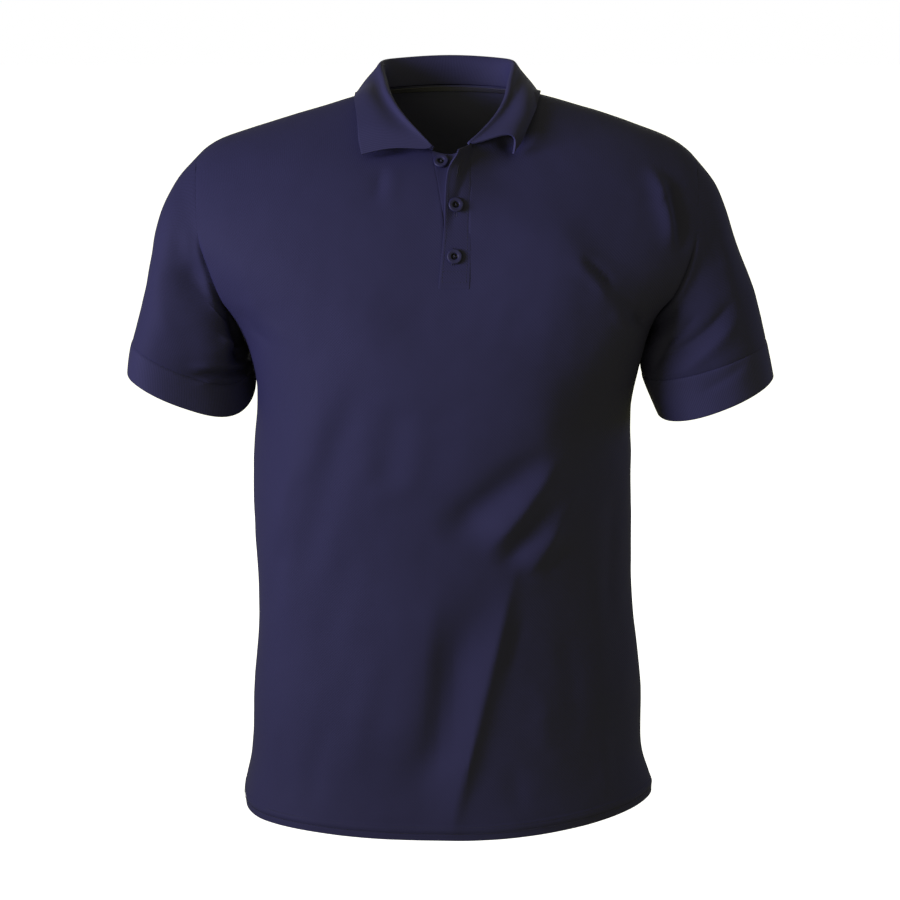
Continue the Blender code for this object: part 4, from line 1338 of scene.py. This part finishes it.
def button(node, x, z, out, tilt):
    """Puts a button on the front and sews it on with crossed thread."""
    name = "resin_" + node
    piece = button_body(name)
    level = level_at(z)
    angle = angle_at(x, level)
    normal = Vector(body_normal(np.array([angle]), np.array([level]))[0])
    normal.rotate(Matrix.Rotation(math.radians(tilt), 3, "Z"))
    middle = Vector(body(np.array([angle]), np.array([level]), out, creased=False)[0])
    turn = normal.to_track_quat("Z", "Y")
    piece.location = middle * MM
    piece.rotation_euler = turn.to_euler()
    place_piece(piece, RESIN, [node])
    crossed = []
    for k in range(2):
        for lie in (-THREADS_APART, THREADS_APART):
            a = math.radians(45 + 90 * k)
            along = turn @ Vector((math.cos(a), math.sin(a), 0))
            aside = turn @ Vector((-math.sin(a), math.cos(a), 0))
            centre = middle + normal * (TOP - THREAD_SUNK + 0.3 * k) + aside * lie
            path = np.array([centre - along * HOLE_OUT, centre + along * HOLE_OUT])
            crossed.append((path, np.array([normal, normal])))
    thread(name + "_thread", crossed, pitch=3.5, long=3.6, thick=0.55)


for row in BUTTONS:
    button(*row)

# ---------------------------------------------------------------------------- studio

world = bpy.data.worlds.new("studio")
bpy.context.scene.world = world
world.use_nodes = True
sky = world.node_tree
sky.nodes.clear()
# White to the eye. As light it is dim and warm.
rays = add(sky, "ShaderNodeLightPath")
glow = add(sky, "ShaderNodeBackground", {"Color": (1, 0.99, 0.42, 1), "Strength": 0.27})
white = add(sky, "ShaderNodeBackground", {"Color": (1, 1, 1, 1), "Strength": 1.0})
shown = add(sky, "ShaderNodeMixShader", {
    "Fac": rays.outputs["Is Camera Ray"], 1: glow.outputs["Background"],
    2: white.outputs["Background"],
})
add(sky, "ShaderNodeOutputWorld", {"Surface": shown.outputs["Shader"]})

# A white floor that the eye sees and that throws no light up on the shirt. Its glow is painted
# light, a little dimmer near the middle (0.92 within 0.9 m) and full white from 2 m, so that the
# lamps still shade it under the shirt and it stays white where they fall off.
FLOOR_Z = -0.85
floor_mesh = bpy.data.meshes.new("floor")
floor_mesh.from_pydata([(-40, -40, FLOOR_Z), (40, -40, FLOOR_Z), (40, 40, FLOOR_Z),
                        (-40, 40, FLOOR_Z)], [], [(0, 1, 2, 3)])
floor = bpy.data.objects.new("floor", floor_mesh)
bpy.context.scene.collection.objects.link(floor)
paper, tree, shader = new_finish("white_paper_floor", Base_Color=(0.9, 0.9, 0.9, 1),
                                 Roughness=0.9, Emission_Color=(1, 1, 1, 1))
place = add(tree, "ShaderNodeTexCoord")
far = add(tree, "ShaderNodeVectorMath", {0: place.outputs["Object"]}, operation="LENGTH")
lit = add(tree, "ShaderNodeMapRange", {
    "Value": far.outputs["Value"], "From Min": 0.9, "From Max": 2.0, "To Min": 0.92,
    "To Max": 1.0,
})
tree.links.new(lit.outputs["Result"], shader.inputs["Emission Strength"])
floor_mesh.materials.append(paper)
floor.visible_diffuse = False
floor.visible_glossy = False


def softbox(name, place, aim, size, power, colour, spread):
    """A square soft light, turned towards a point, with a grid that narrows its spread."""
    light = bpy.data.lights.new(name, "AREA")
    light.shape = "SQUARE"
    light.size = size
    light.energy = power
    light.color = colour
    light.spread = math.radians(spread)
    lamp = bpy.data.objects.new(name, light)
    lamp.location = place
    lamp.rotation_euler = (Vector(aim) - Vector(place)).to_track_quat("-Z", "Y").to_euler()
    bpy.context.scene.collection.objects.link(lamp)


# name; place; the point it is aimed at; size in metres, watts; colour; spread in degrees
for row in (
    ("key_softbox", (-2.16, -1.45, 0.16), (0.05, -0.575, 0.15), 1.0, 15.6, (0.74, 0.715, 1.0), 80),
    ("front_softbox", (-0.65, -1.79, 0.0), (0, 0, -0.20), 0.7, 2.4, (1.0, 0.97, 0.4), 180),
    ("back_softbox", (0.3, 2.6, 0.5), (0, 0, -0.35), 1.6, 15.0, (0.92, 0.92, 1.0), 180),
    ("edge_softbox", (2.86, 1.33, 0.26), (0, 0, -0.35), 1.5, 9.4, (0.12, 0.12, 1.0), 180),
):
    softbox(*row)

camera = bpy.data.objects.new("camera", bpy.data.cameras.new("camera"))
bpy.context.scene.collection.objects.link(camera)
camera.data.lens = 100.0
camera.data.sensor_width = 36.0
camera.data.clip_end = 200.0
DISTANCE, HEIGHT_ANGLE, AIM = 2.5, math.radians(10), Vector((0, 0, -0.3517))
camera.location = AIM + Vector((0, -math.cos(HEIGHT_ANGLE), math.sin(HEIGHT_ANGLE))) * DISTANCE
camera.rotation_euler = (AIM - camera.location).to_track_quat("-Z", "Y").to_euler()
bpy.context.scene.camera = camera
bpy.context.scene.view_settings.view_transform = "Standard"
